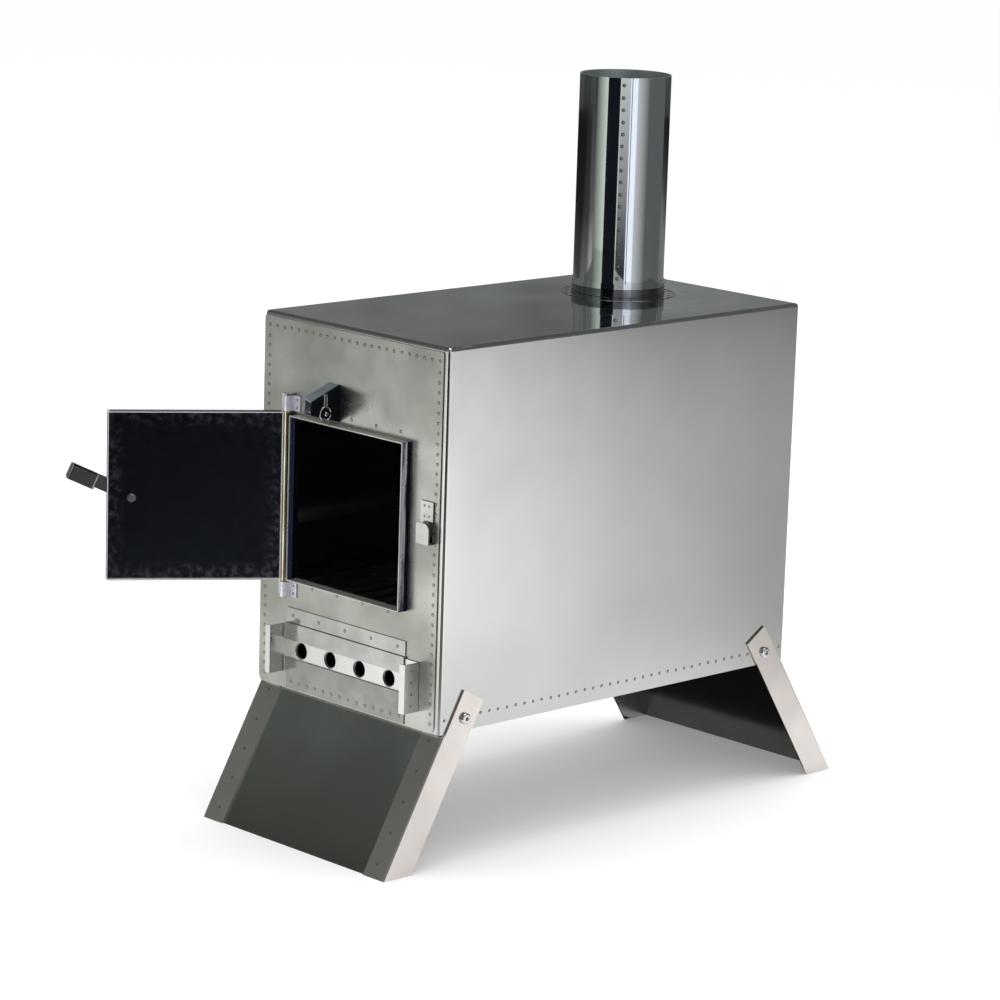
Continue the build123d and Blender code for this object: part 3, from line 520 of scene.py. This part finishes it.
def weldTree():
    tree = bpy.data.node_groups.new("spotWelds", "GeometryNodeTree")
    face = tree.interface
    face.new_socket("Geometry", in_out="INPUT", socket_type="NodeSocketGeometry")
    for label in ("Width", "Height", "Jitter"):
        socket = face.new_socket(label, in_out="INPUT", socket_type="NodeSocketFloat")
        socket.default_value = spotWeld[label.lower()] / 1000
    face.new_socket("Seed", in_out="INPUT", socket_type="NodeSocketInt").default_value = spotWeld["seed"]
    face.new_socket("Finish", in_out="INPUT", socket_type="NodeSocketMaterial")
    face.new_socket("Geometry", in_out="OUTPUT", socket_type="NodeSocketGeometry")
    size = addNode(tree, "NodeGroupInput").outputs
    spread = addNode(
        tree, "FunctionNodeRandomValue", {"data_type": "FLOAT_VECTOR", 0: (-1, -1, -1), 1: (1, 1, 1)},
        {"Seed": size["Seed"]},
    )
    facing = addNode(
        tree, "GeometryNodeInputNamedAttribute", {"data_type": "FLOAT_VECTOR", "Name": "facing"}
    ).outputs[0]
    shift = addNode(
        tree, "ShaderNodeVectorMath", {"operation": "SCALE"}, {0: spread.outputs[0], "Scale": size["Jitter"]}
    ).outputs[0]
    away = addNode(tree, "ShaderNodeVectorMath", {"operation": "PROJECT"}, {0: shift, 1: facing})
    flat = addNode(tree, "ShaderNodeVectorMath", {"operation": "SUBTRACT"}, {0: shift, 1: away.outputs[0]})
    moved = addNode(
        tree, "GeometryNodeSetPosition", {}, {"Geometry": size["Geometry"], "Offset": flat.outputs[0]}
    )
    points = addNode(tree, "GeometryNodeMeshToPoints", {}, {"Mesh": moved.outputs[0]})
    dot = addNode(  # one unit across, so that the scale is its size
        tree, "GeometryNodeMeshUVSphere",
        {"Segments": spotWeld["segments"], "Rings": spotWeld["rings"], "Radius": 0.5},
    )
    place = addNode(tree, "GeometryNodeInputPosition")
    radius = addNode(
        tree, "ShaderNodeVectorMath", {"operation": "MULTIPLY", 1: (2, 2, 0)}, {0: place.outputs[0]}
    )
    reach = addNode(tree, "ShaderNodeVectorMath", {"operation": "LENGTH"}, {0: radius.outputs[0]})
    stored = addNode(
        tree, "GeometryNodeStoreNamedAttribute", {"data_type": "FLOAT", "domain": "POINT", "Name": "weldReach"},
        {"Geometry": dot.outputs["Mesh"], "Value": reach.outputs["Value"]},
    )
    turn = addNode(tree, "FunctionNodeAlignRotationToVector", {"axis": "Z"}, {"Vector": facing})
    full = addNode(tree, "ShaderNodeCombineXYZ", {}, {0: size["Width"], 1: size["Width"], 2: size["Height"]})
    placed = addNode(
        tree, "GeometryNodeInstanceOnPoints", {},
        {"Points": points.outputs[0], "Instance": stored.outputs[0], "Rotation": turn.outputs[0],
         "Scale": full.outputs[0]},
    )
    made = addNode(tree, "GeometryNodeRealizeInstances", {}, {0: placed.outputs[0]})
    coated = addNode(
        tree, "GeometryNodeSetMaterial", {}, {"Geometry": made.outputs[0], "Material": size["Finish"]}
    )
    addNode(tree, "NodeGroupOutput", {}, {"Geometry": coated.outputs[0]})
    return tree


weldNodes = weldTree()


# Points along straight runs: (first point, last point, how many, facing)
def runPoints(runs):
    found = []
    for first, last, count, facing in runs:
        a, b = Vector(first), Vector(last)
        for i in range(count):
            share = i / (count - 1) if count > 1 else 0.0
            found.append((a.lerp(b, share) / 1000, Vector(facing)))
    return found


def smoothFaces(mesh):
    for polygon in mesh.polygons:
        polygon.use_smooth = True


def makeWelds(name, points, body, slotName, finish, width=None, height=None, jitter=None):
    mesh = bpy.data.meshes.new(name + "Points")
    mesh.from_pydata([p for p, _ in points], [], [])
    facing = mesh.attributes.new("facing", "FLOAT_VECTOR", "POINT")
    for i, (_, direction) in enumerate(points):
        facing.data[i].vector = direction
    obj = bpy.data.objects.new(name, mesh)
    scene.collection.objects.link(obj)
    modifier = obj.modifiers.new("spotWelds", "NODES")
    modifier.node_group = weldNodes
    values = {"Finish": finish, "Width": width, "Height": height, "Jitter": jitter}
    for item in weldNodes.interface.items_tree:
        if item.in_out != "INPUT" or values.get(item.name) is None:
            continue
        value = values[item.name]
        modifier[item.identifier] = value if item.name == "Finish" else value / 1000
    bpy.context.view_layer.update()
    seen = obj.evaluated_get(bpy.context.evaluated_depsgraph_get())
    plain = bpy.data.meshes.new_from_object(seen)
    obj.modifiers.clear()
    obj.data = plain
    plain.name = name
    smoothFaces(plain)
    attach(obj, body)


# A row of welds from left to right, on a face that looks forward or back
def acrossRow(left, right, y, z, count, facing=forward):
    return (left, y, z), (right, y, z), count, facing


# Rows round an end panel: across the top and up both edges
panelWelds = {
    "left": 6.5, "right": 4.5, "top": 7.5, "bottom": 8.0, "corner": 17.0, "topCount": 24, "columnCount": 36,
}


def panelRuns(low, high, y, facing):
    top, bottom = high[2] - panelWelds["top"], low[2] + panelWelds["bottom"]
    upper = high[2] - panelWelds["corner"]
    left, right = low[0] + panelWelds["left"], high[0] - panelWelds["right"]
    columns = [((x, y, bottom), (x, y, upper), panelWelds["columnCount"], facing) for x in (left, right)]
    return [acrossRow(left, right, y, top, panelWelds["topCount"], facing)] + columns


# The front panel's rows round the door opening, measured from the collar's walls
openingWelds = {
    "above": {"gap": 6.5, "fromLeft": 69, "fromRight": 12, "count": 3},
    "beside": {"gap": 3.0, "first": 9.5, "last": 103, "count": 4},
    "below": {"gap": 4.0, "fromLeft": 24, "fromRight": 22, "count": 4},
}
above, beside, below = (openingWelds[k] for k in ("above", "beside", "below"))
besideX = collarFace["right"] + beside["gap"]
frontRuns = panelRuns(frontLow, frontHigh, frontY, forward) + [
    acrossRow(
        collarFace["left"] + above["fromLeft"], collarFace["right"] - above["fromRight"], frontY,
        collarFace["high"] + above["gap"], above["count"],
    ),
    ((besideX, frontY, collarFace["low"] + beside["first"]),
     (besideX, frontY, collarFace["low"] + beside["last"]), beside["count"], forward),
    acrossRow(
        collarFace["left"] + below["fromLeft"], collarFace["right"] - below["fromRight"], frontY,
        collarFace["low"] - below["gap"], below["count"],
    ),
]

# Fittings stand proud of the panel by their own sheet
railWelds = {
    "proud": 1, "upper": {"fromLeft": 8, "fromRight": 10, "down": 6, "count": 5},
    "lower": {"fromLeft": 6, "fromRight": 6, "up": 6, "count": 14},
}
upper, lower = railWelds["upper"], railWelds["lower"]
railY = frontY - railWelds["proud"]
railRuns = [
    acrossRow(
        upperRailLow[0] + upper["fromLeft"], upperRailHigh[0] - upper["fromRight"], railY,
        upperRailHigh[2] - upper["down"], upper["count"],
    ),
    acrossRow(
        lowerRailLow[0] + lower["fromLeft"], lowerRailHigh[0] - lower["fromRight"], railY,
        lowerRailLow[2] + lower["up"], lower["count"],
    ),
]
keeperWelds = {"proud": 1.5, "fromLeft": 4.9, "fromRight": 4.8, "down": (3.7, 12.3), "count": 2}
fittingRuns = [
    acrossRow(
        keeperLow[0] + keeperWelds["fromLeft"], keeperHigh[0] - keeperWelds["fromRight"],
        frontY - keeperWelds["proud"], keeperHigh[2] - down, keeperWelds["count"],
    )
    for down in keeperWelds["down"]
]
saddleWelds = {"proud": 1.2, "side": 3.5, "end": 3.2, "count": 2}
saddleY = frontY - saddleWelds["proud"]
for saddle in ("hinge_saddle_upper", "hinge_saddle_lower"):
    low, high = span(saddle)
    bottom, top = low[2] + saddleWelds["end"], high[2] - saddleWelds["end"]
    for x in (low[0] + saddleWelds["side"], high[0] - saddleWelds["side"]):
        fittingRuns.append(((x, saddleY, bottom), (x, saddleY, top), saddleWelds["count"], forward))

sideWelds = {"end": 6, "up": 12, "count": 41, "width": 2.8}
sideFirst, sideLast = wrapLow[1] + sideWelds["end"], wrapHigh[1] - sideWelds["end"]
sideZ = wrapLow[2] + sideWelds["up"]
sideRuns = [
    ((x, sideFirst, sideZ), (x, sideLast, sideZ), sideWelds["count"], facing)
    for x, facing in ((wrapHigh[0], rightward), (wrapLow[0], leftward))
]
backFootWelds = {"side": 16, "up": 6, "count": 18}
backRuns = panelRuns(backLow, backHigh, backY, backward) + [
    acrossRow(
        backLow[0] + backFootWelds["side"], backHigh[0] - backFootWelds["side"], backY,
        backLow[2] + backFootWelds["up"], backFootWelds["count"], backward,
    ),
]
makeWelds("frontPanelWelds", runPoints(frontRuns), "firebox", "front_sheet", steelWeld)
makeWelds("railWelds", runPoints(railRuns), "firebox", "welded_fittings", steelWeld)
makeWelds("fittingWelds", runPoints(fittingRuns), "firebox", "welded_fittings", steelWeld, **smallWeld)
makeWelds("sideWelds", runPoints(sideRuns), "firebox", "body_sheet", copperWeld, width=sideWelds["width"])
makeWelds("backPanelWelds", runPoints(backRuns), "firebox", "front_sheet", steelWeld)
print("spot welds made on the body")


# Rows of welds where each leg angle lies over the web; first and last are measured down the leg from its pivot,
# and face is how far the angle's outside stands from the pivot's line. Splay is in degrees from upright.
legWelds = {
    "inset": 13.0, "first": 28.5, "last": 138.0, "count": 5, "face": 14.0, "width": 2.6,
    "splay": {"front": 29.0, "rear": 33.0},
}
legHalf = span("front_leg_panel")[1][0]


def legRuns(sign, splay, pivotY, pivotZ):
    turn = math.radians(splay)
    facing = Vector((0, sign * math.cos(turn), math.sin(turn)))
    down = Vector((0, sign * math.sin(turn), -math.cos(turn)))
    top = Vector((0, pivotY, pivotZ)) + facing * legWelds["face"]
    runs = []
    for side in (-1, 1):
        across = Vector((side * (legHalf - legWelds["inset"]), 0, 0))
        first, last = (top + down * legWelds[k] + across for k in ("first", "last"))
        runs.append((first, last, legWelds["count"], facing))
    return runs


jointPlaces = {
    joint["name"]: [v * 1000 for v in joint["pos_m"]]
    for joint in frame["record"]["behaviour"]["joints"] if "pos_m" in joint
}
for end, sign in (("front", -1), ("rear", 1)):
    pivot = jointPlaces[end + "_leg_fold"]
    points = runPoints(legRuns(sign, legWelds["splay"][end], pivot[1], pivot[2]))
    makeWelds(end + "LegWelds", points, end + "_legs", "leg_angle_sheet", steelWeld, width=legWelds["width"])
print("spot welds made on both leg pairs")


# Ring of spot welds round the flue, set this far above the top sheet
ringWelds = {"radius": 46.0, "count": 26, "above": 1, "width": 2.6}
ringPoints = []
for i in range(ringWelds["count"]):
    turn = math.tau * i / ringWelds["count"]
    x, y = flueX + ringWelds["radius"] * math.cos(turn), flueY + ringWelds["radius"] * math.sin(turn)
    ringPoints.append((Vector((x, y, wrapHigh[2] + ringWelds["above"])) / 1000, Vector(upward)))
makeWelds("flueRingWelds", ringPoints, "firebox", "flue_ring", copperWeld, width=ringWelds["width"])


def roundFlue(radius, turn, z):  # millimetres in, metres out
    return (flueX + radius * math.cos(turn)) / 1000, (flueY + radius * math.sin(turn)) / 1000, z / 1000


# The collar's flange shows through the top sheet as a low pressed ring
pressedRing = {"radius": 50.0, "width": 1.6, "rise": 0.3, "steps": 96, "rows": 6}


def makePressedRing(setup):
    verts, faces = [], []
    steps, rows = setup["steps"], setup["rows"]
    for i in range(steps):
        turn = math.tau * i / steps
        for j in range(rows):
            lean = math.tau * j / rows
            r = setup["radius"] + setup["width"] / 2 * math.cos(lean)
            z = wrapHigh[2] + setup["rise"] * math.sin(lean)
            verts.append(roundFlue(r, turn, z))
    for i in range(steps):
        for j in range(rows):
            k, m = (i + 1) % steps, (j + 1) % rows
            faces.append((i * rows + j, k * rows + j, k * rows + m, i * rows + m))
    obj = addMesh("pressedRing", verts, faces, materials["flue_ring"])
    smoothFaces(obj.data)
    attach(obj, "firebox")


makePressedRing(pressedRing)
print("flue ring made")


# Pipe seam: the lapped edge of the rolled sheet, a thin strip up the pipe with its own spot welds.
# Bearings and halfWidth are in degrees round the pipe, the rest in millimetres.
pipeSeam = {
    "radius": 40.0, "bearing": -43.6, "halfWidth": 7.7, "step": 0.35, "edgeStep": 0.05, "sunk": 0.3, "hem": 5.0,
    "columns": 12,
}
seamWelds = {"bearing": -47.0, "pitch": 10.5, "first": 5, "spare": 8, "width": 3.4, "height": 0.6}
seamLow, seamHigh = pipeLow[2] + pipeSeam["hem"], pipeHigh[2]


def makeSeam(setup):
    columns, radius = setup["columns"], setup["radius"]
    verts, faces = [], []
    for i in range(columns + 1):
        turn = math.radians(setup["bearing"] + setup["halfWidth"] * (2 * i / columns - 1))
        step = setup["edgeStep"] if i in (0, columns) else setup["step"]
        for r in (radius - setup["sunk"], radius + step):
            for z in (seamLow, seamHigh):
                verts.append(roundFlue(r, turn, z))
    for i in range(columns):
        a, b = 4 * i, 4 * (i + 1)
        faces.append((a + 2, b + 2, b + 3, a + 3))
        faces.append((a, a + 1, b + 1, b))
        faces.append((a, b, b + 2, a + 2))
        faces.append((a + 1, a + 3, b + 3, b + 1))
    last = 4 * columns
    faces.append((0, 2, 3, 1))
    faces.append((last, last + 1, last + 3, last + 2))
    obj = addMesh("pipeSeam", verts, faces, materials["pipe_sheet"])
    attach(obj, "flue_pipe")


def seamPoints(setup):
    count = int((seamHigh - seamLow - setup["spare"]) / setup["pitch"]) + 1
    turn = math.radians(setup["bearing"])
    out = Vector((math.cos(turn), math.sin(turn), 0))
    found = []
    for i in range(count):
        axisPoint = Vector((flueX, flueY, seamLow + setup["first"] + i * setup["pitch"]))
        found.append(((axisPoint + out * (pipeSeam["radius"] + pipeSeam["step"])) / 1000, out))
    return found


makeSeam(pipeSeam)
makeWelds(
    "pipeSeamWelds", seamPoints(seamWelds), "flue_pipe", "pipe_sheet", steelWeld, width=seamWelds["width"],
    height=seamWelds["height"],
)
tabWelds = {"back": 8, "end": 6, "count": 4}
tabX, tabY = slideHigh[0], slideHigh[1] - tabWelds["back"]
tabRuns = [
    ((tabX, tabY, slideLow[2] + tabWelds["end"]), (tabX, tabY, slideHigh[2] - tabWelds["end"]),
     tabWelds["count"], rightward),
]
makeWelds("slideTabWelds", runPoints(tabRuns), "air_slide", "front_sheet", steelWeld, **smallWeld)
print("pipe seam and the air slide's welds made")


# Studio: a pale floor under soft light. Polished steel shows what stands round it, so cards that only
# reflections see stand in for a dark room, soft boxes and the floor's fading light. All in metres.
studio = {
    "floor": "#f0f0f0", "floorReach": 14.0, "floorLift": 0.20, "ambient": 0.90,
    "lampPlace": (0.2, 0.3, 3.0), "lampTarget": (0, 0, 0.2), "lampSize": (2.4, 2.4), "lampPower": 34,
    "roomRadius": 5.5,
}


def seenDirectly(tree):
    path = addNode(tree, "ShaderNodeLightPath").outputs
    both = addNode(
        tree, "ShaderNodeMath", {"operation": "MAXIMUM"}, {0: path["Is Camera Ray"], 1: path["Is Glossy Ray"]}
    )
    return addNode(
        tree, "ShaderNodeMath", {"operation": "MAXIMUM"}, {0: both.outputs[0], 1: path["Is Transmission Ray"]}
    ).outputs[0]


def makeWorld():
    world = bpy.data.worlds.new("softStudio")
    world.use_nodes = True
    tree = world.node_tree
    tree.nodes.clear()
    level = addNode(
        tree, "ShaderNodeMapRange", {"To Min": studio["ambient"], "To Max": 1.0}, {"Value": seenDirectly(tree)}
    )
    back = addNode(tree, "ShaderNodeBackground", {"Color": (1, 1, 1, 1)}, {"Strength": level.outputs[0]})
    addNode(tree, "ShaderNodeOutputWorld", {}, {"Surface": back.outputs[0]})
    scene.world = world


def makeFloor():
    material, tree = newMaterial("paleFloor")
    paint = addNode(tree, "ShaderNodeBsdfDiffuse", {"Color": hexColour(studio["floor"])})
    lift = addNode(
        tree, "ShaderNodeMath", {"operation": "MULTIPLY", 1: studio["floorLift"]}, {0: seenDirectly(tree)}
    )
    glow = addNode(tree, "ShaderNodeEmission", {"Color": (1, 1, 1, 1)}, {"Strength": lift.outputs[0]})
    both = addNode(tree, "ShaderNodeAddShader", {}, {0: paint.outputs[0], 1: glow.outputs[0]})
    addNode(tree, "ShaderNodeOutputMaterial", {}, {"Surface": both.outputs[0]})
    reach = studio["floorReach"]
    corners = [(-reach, -reach, 0), (reach, -reach, 0), (reach, reach, 0), (-reach, reach, 0)]
    addMesh("studioFloor", corners, [(0, 1, 2, 3)], material)


def makeLamp(name, place, target, size, power):
    data = bpy.data.lights.new(name, "AREA")
    data.shape = "RECTANGLE"
    data.size, data.size_y = size
    data.energy = power
    lamp = bpy.data.objects.new(name, data)
    direction = Vector(target) - Vector(place)
    lamp.matrix_world = Matrix.Translation(place) @ direction.to_track_quat("-Z", "Y").to_matrix().to_4x4()
    scene.collection.objects.link(lamp)


# A stage piece that only reflections see
def reflectedOnly(name, verts, faces, material):
    obj = addMesh(name, verts, faces, material)
    obj.visible_camera = obj.visible_diffuse = obj.visible_shadow = False
    obj.visible_transmission = obj.visible_volume_scatter = False
    return obj


# Quads between rows of points that run round in rings
def ringFaces(columns, rows):
    faces = []
    for j in range(rows):
        for i in range(columns):
            k = (i + 1) % columns
            faces.append((j * columns + i, (j + 1) * columns + i, (j + 1) * columns + k, j * columns + k))
    return faces


# Cards that stand on arcs round the flue: bearings in degrees from right to left seen from the stove, and four
# corner shades, low at the first bearing, low at the last, high at the first, high at the last
black, softWhite, coolWhite = (0.010, 0.012, 0.016), (0.80, 0.81, 0.83), (1.35, 1.40, 1.58)
dimGrey, fadedGrey, greenWhite = (0.15, 0.155, 0.16), (0.12, 0.125, 0.13), (0.92, 1.02, 0.90)
cards = {
    "cameraSideDark": {"radius": 1.7, "bearings": (-88, -55), "heights": (0.0, 2.4), "shades": (black,) * 4},
    "cameraSideLow": {"radius": 1.7, "bearings": (-55, -32), "heights": (0.0, 0.20), "shades": (black,) * 4},
    "cameraSideFade": {
        "radius": 1.7, "bearings": (-55, -32), "heights": (0.20, 0.46),
        "shades": (black, black, softWhite, softWhite),
    },
    "cameraSideHigh": {
        "radius": 1.7, "bearings": (-55, -32), "heights": (0.46, 1.20),
        "shades": (softWhite, softWhite, black, black),
    },
    "leftSoftBox": {
        "radius": 2.6, "bearings": (-118, -86), "heights": (0.0, 2.2),
        "shades": ((0.16, 0.18, 0.16), greenWhite, (0.10, 0.11, 0.10), greenWhite),
    },
    "rightSoftBoxBright": {
        "radius": 2.6, "bearings": (-32, -13), "heights": (0.0, 2.2), "shades": (coolWhite,) * 4,
    },
    "rightSoftBox": {
        "radius": 2.7, "bearings": (-13, 22), "heights": (0.0, 2.2),
        "shades": (softWhite, fadedGrey, softWhite, fadedGrey),
    },
    "rightDimRoom": {"radius": 2.7, "bearings": (22, 76), "heights": (0.0, 2.2), "shades": (dimGrey,) * 4},
}


def makeCard(name, setup, columns=16):
    verts, faces, shades = [], [], []
    first, last = setup["bearings"]
    low, high = setup["heights"]
    corners = [Vector(shade) for shade in setup["shades"]]
    for i in range(columns + 1):
        share = i / columns
        turn = math.radians(first + (last - first) * share)
        x = flueX / 1000 + setup["radius"] * math.cos(turn)
        y = flueY / 1000 + setup["radius"] * math.sin(turn)
        verts += [(x, y, low), (x, y, high)]
        shades += [corners[0].lerp(corners[1], share), corners[2].lerp(corners[3], share)]
    for i in range(columns):
        faces.append((2 * i, 2 * i + 2, 2 * i + 3, 2 * i + 1))
    material, tree = newMaterial(name)
    shade = addNode(tree, "ShaderNodeAttribute", {"attribute_name": "cardShade"})
    glow = addNode(tree, "ShaderNodeEmission", {"Strength": 1.0}, {"Color": shade.outputs["Color"]})
    addNode(tree, "ShaderNodeOutputMaterial", {}, {"Surface": glow.outputs[0]})
    card = reflectedOnly(name, verts, faces, material)
    stored = card.data.attributes.new("cardShade", "FLOAT_COLOR", "POINT")
    for i, value in enumerate(shades):
        stored.data[i].color = (*value, 1.0)


# The dark room above and round the floor: its shade changes with height, from 0 at the floor to 1 overhead,
# and soft patches lighten and darken it
room = {
    "columns": 48, "rows": 16, "patchScale": 11.0, "patchDetail": 3.0, "patchFrom": (0.3, 0.7),
    "patchTo": (0.55, 1.45),
    "shades": [
        (0.0, (0.070, 0.074, 0.076)), (0.08, (0.16, 0.17, 0.175)), (0.16, (0.235, 0.25, 0.255)),
        (0.36, (0.18, 0.19, 0.18)), (0.56, (0.10, 0.11, 0.11)), (0.86, (0.16, 0.17, 0.17)),
        (0.93, (1.0, 1.0, 1.0)),
    ],
}


def makeRoom():
    columns, rows, radius = room["columns"], room["rows"], studio["roomRadius"]
    verts = []
    for j in range(rows):
        lift = math.pi / 2 * j / rows
        for i in range(columns):
            turn = math.tau * i / columns
            x, y = radius * math.cos(lift) * math.cos(turn), radius * math.cos(lift) * math.sin(turn)
            verts.append((x, y, radius * math.sin(lift)))
    verts.append((0, 0, radius))
    faces = ringFaces(columns, rows - 1)
    top = (rows - 1) * columns
    for i in range(columns):
        faces.append((top + i, len(verts) - 1, top + (i + 1) % columns))
    material, tree = newMaterial("darkRoom")
    place = addNode(tree, "ShaderNodeTexCoord").outputs["Object"]
    aim = addNode(tree, "ShaderNodeVectorMath", {"operation": "NORMALIZE"}, {0: place}).outputs[0]
    height = addNode(tree, "ShaderNodeSeparateXYZ", {}, {0: aim}).outputs[2]
    ramp = addNode(tree, "ShaderNodeValToRGB", {}, {0: height})
    fillRamp(ramp, [(position, (*shade, 1.0)) for position, shade in room["shades"]])
    patch = addNode(
        tree, "ShaderNodeTexNoise", {"Scale": room["patchScale"], "Detail": room["patchDetail"]},
        {"Vector": aim},
    )
    (fromLow, fromHigh), (toLow, toHigh) = room["patchFrom"], room["patchTo"]
    level = addNode(
        tree, "ShaderNodeMapRange",
        {"From Min": fromLow, "From Max": fromHigh, "To Min": toLow, "To Max": toHigh},
        {"Value": patch.outputs[0]},
    )
    glow = addNode(tree, "ShaderNodeEmission", {}, {"Color": ramp.outputs[0], "Strength": level.outputs[0]})
    addNode(tree, "ShaderNodeOutputMaterial", {}, {"Surface": glow.outputs[0]})
    reflectedOnly("darkRoom", verts, faces, material)


# The floor's light as the steel sees it: shades run out from the middle of the pool. Each sweep is the start
# and end of a change, then the levels there: before and behind run across the floor, sector is the cosine off
# darkAim and depth the metres along it. Edge keeps the pool clear of the stove.
pool = {
    "columns": 64, "rows": 24, "clearRadius": 0.40, "height": 0.0005, "middle": (0.7, 0.6), "reach": 6.0,
    "across": (-1, 1, 0), "darkAim": (0.643, -0.766, 0.0), "darkness": -0.90, "edge": (0.42, 0.80),
    "before": (-0.62, 0.22, 2.6, 0.92), "behind": (1.2, 2.6, 1.0, 0.35),
    "sector": (0.76, 0.86, 0.0, 1.0), "depth": (0.42, 0.62, 0.0, 1.0),
    "shades": [
        (0.0, 1.30), (0.16, 1.20), (0.25, 1.10), (0.32, 1.18), (0.53, 1.55), (0.63, 0.42), (0.75, 0.12),
        (1.0, 0.07),
    ],
}


def makePool():
    columns, rows, clearRadius = pool["columns"], pool["rows"], pool["clearRadius"]
    verts = []
    for j in range(rows + 1):
        r = clearRadius + (studio["roomRadius"] - clearRadius) * j / rows
        for i in range(columns):
            turn = math.tau * i / columns
            verts.append((r * math.cos(turn), r * math.sin(turn), pool["height"]))
    material, tree = newMaterial("floorPool")
    place = addNode(tree, "ShaderNodeTexCoord").outputs["Object"]
    middle = (*pool["middle"], 0)
    away = addNode(tree, "ShaderNodeVectorMath", {"operation": "SUBTRACT", 1: middle}, {0: place})
    away = addNode(tree, "ShaderNodeVectorMath", {"operation": "LENGTH"}, {0: away.outputs[0]})
    share = addNode(
        tree, "ShaderNodeMath", {"operation": "DIVIDE", 1: pool["reach"]}, {0: away.outputs["Value"]}
    )
    ramp = addNode(tree, "ShaderNodeValToRGB", {}, {0: share.outputs[0]})
    fillRamp(ramp, [(position, (shade / 2,) * 3 + (1.0,)) for position, shade in pool["shades"]])
    aim = addNode(tree, "ShaderNodeVectorMath", {"operation": "NORMALIZE"}, {0: place}).outputs[0]
    measures = {}
    for name, direction, source in (
        ("across", pool["across"], place), ("sector", pool["darkAim"], aim), ("depth", pool["darkAim"], place),
    ):
        measures[name] = addNode(
            tree, "ShaderNodeVectorMath", {"operation": "DOT_PRODUCT", 1: direction}, {0: source}
        ).outputs["Value"]
    measures["before"] = measures["behind"] = measures["across"]
    levels = {}
    for name in ("before", "sector", "depth", "behind"):
        fromLow, fromHigh, toLow, toHigh = pool[name]
        levels[name] = addNode(
            tree, "ShaderNodeMapRange",
            {"interpolation_type": "SMOOTHSTEP", "From Min": fromLow, "From Max": fromHigh, "To Min": toLow,
             "To Max": toHigh},
            {"Value": measures[name]},
        ).outputs[0]
    shaded = addNode(
        tree, "ShaderNodeMath", {"operation": "MULTIPLY"}, {0: levels["sector"], 1: levels["depth"]}
    )
    lit = addNode(
        tree, "ShaderNodeMath", {"operation": "MULTIPLY_ADD", 1: pool["darkness"], 2: 1.0},
        {0: shaded.outputs[0]},
    )
    level = addNode(tree, "ShaderNodeMath", {"operation": "MULTIPLY"}, {0: levels["before"], 1: lit.outputs[0]})
    level = addNode(
        tree, "ShaderNodeMath", {"operation": "MULTIPLY"}, {0: level.outputs[0], 1: levels["behind"]}
    )
    glow = addNode(tree, "ShaderNodeEmission", {}, {"Color": ramp.outputs[0], "Strength": level.outputs[0]})
    clear = addNode(tree, "ShaderNodeBsdfTransparent")
    fromStove = addNode(tree, "ShaderNodeVectorMath", {"operation": "LENGTH"}, {0: place}).outputs["Value"]
    edge = addNode(
        tree, "ShaderNodeMapRange", {"From Min": pool["edge"][0], "From Max": pool["edge"][1]},
        {"Value": fromStove},
    )
    blend = addNode(
        tree, "ShaderNodeMixShader", {}, {0: edge.outputs[0], 1: clear.outputs[0], 2: glow.outputs[0]}
    )
    addNode(tree, "ShaderNodeOutputMaterial", {}, {"Surface": blend.outputs[0]})
    reflectedOnly("floorPool", verts, ringFaces(columns, rows), material)


# The shade under the stove, which the inner faces of the legs mirror
shadeUnder = {
    "left": -0.28, "right": 0.11, "halfLength": 0.255, "height": 0.0008, "shade": (0.02, 0.02, 0.022, 1.0),
}


def makeUnderShade(setup):
    material, tree = newMaterial("underShade")
    glow = addNode(tree, "ShaderNodeEmission", {"Color": setup["shade"], "Strength": 1.0})
    addNode(tree, "ShaderNodeOutputMaterial", {}, {"Surface": glow.outputs[0]})
    left, right, y, z = (setup[k] for k in ("left", "right", "halfLength", "height"))
    corners = [(left, -y, z), (right, -y, z), (right, y, z), (left, y, z)]
    reflectedOnly("underShade", corners, [(0, 1, 2, 3)], material)


makeWorld()
makeFloor()
makeLamp("overheadLamp", studio["lampPlace"], studio["lampTarget"], studio["lampSize"], studio["lampPower"])
for cardName, cardSetup in cards.items():
    makeCard(cardName, cardSetup)
makeRoom()
makePool()
makeUnderShade(shadeUnder)
print("studio set")
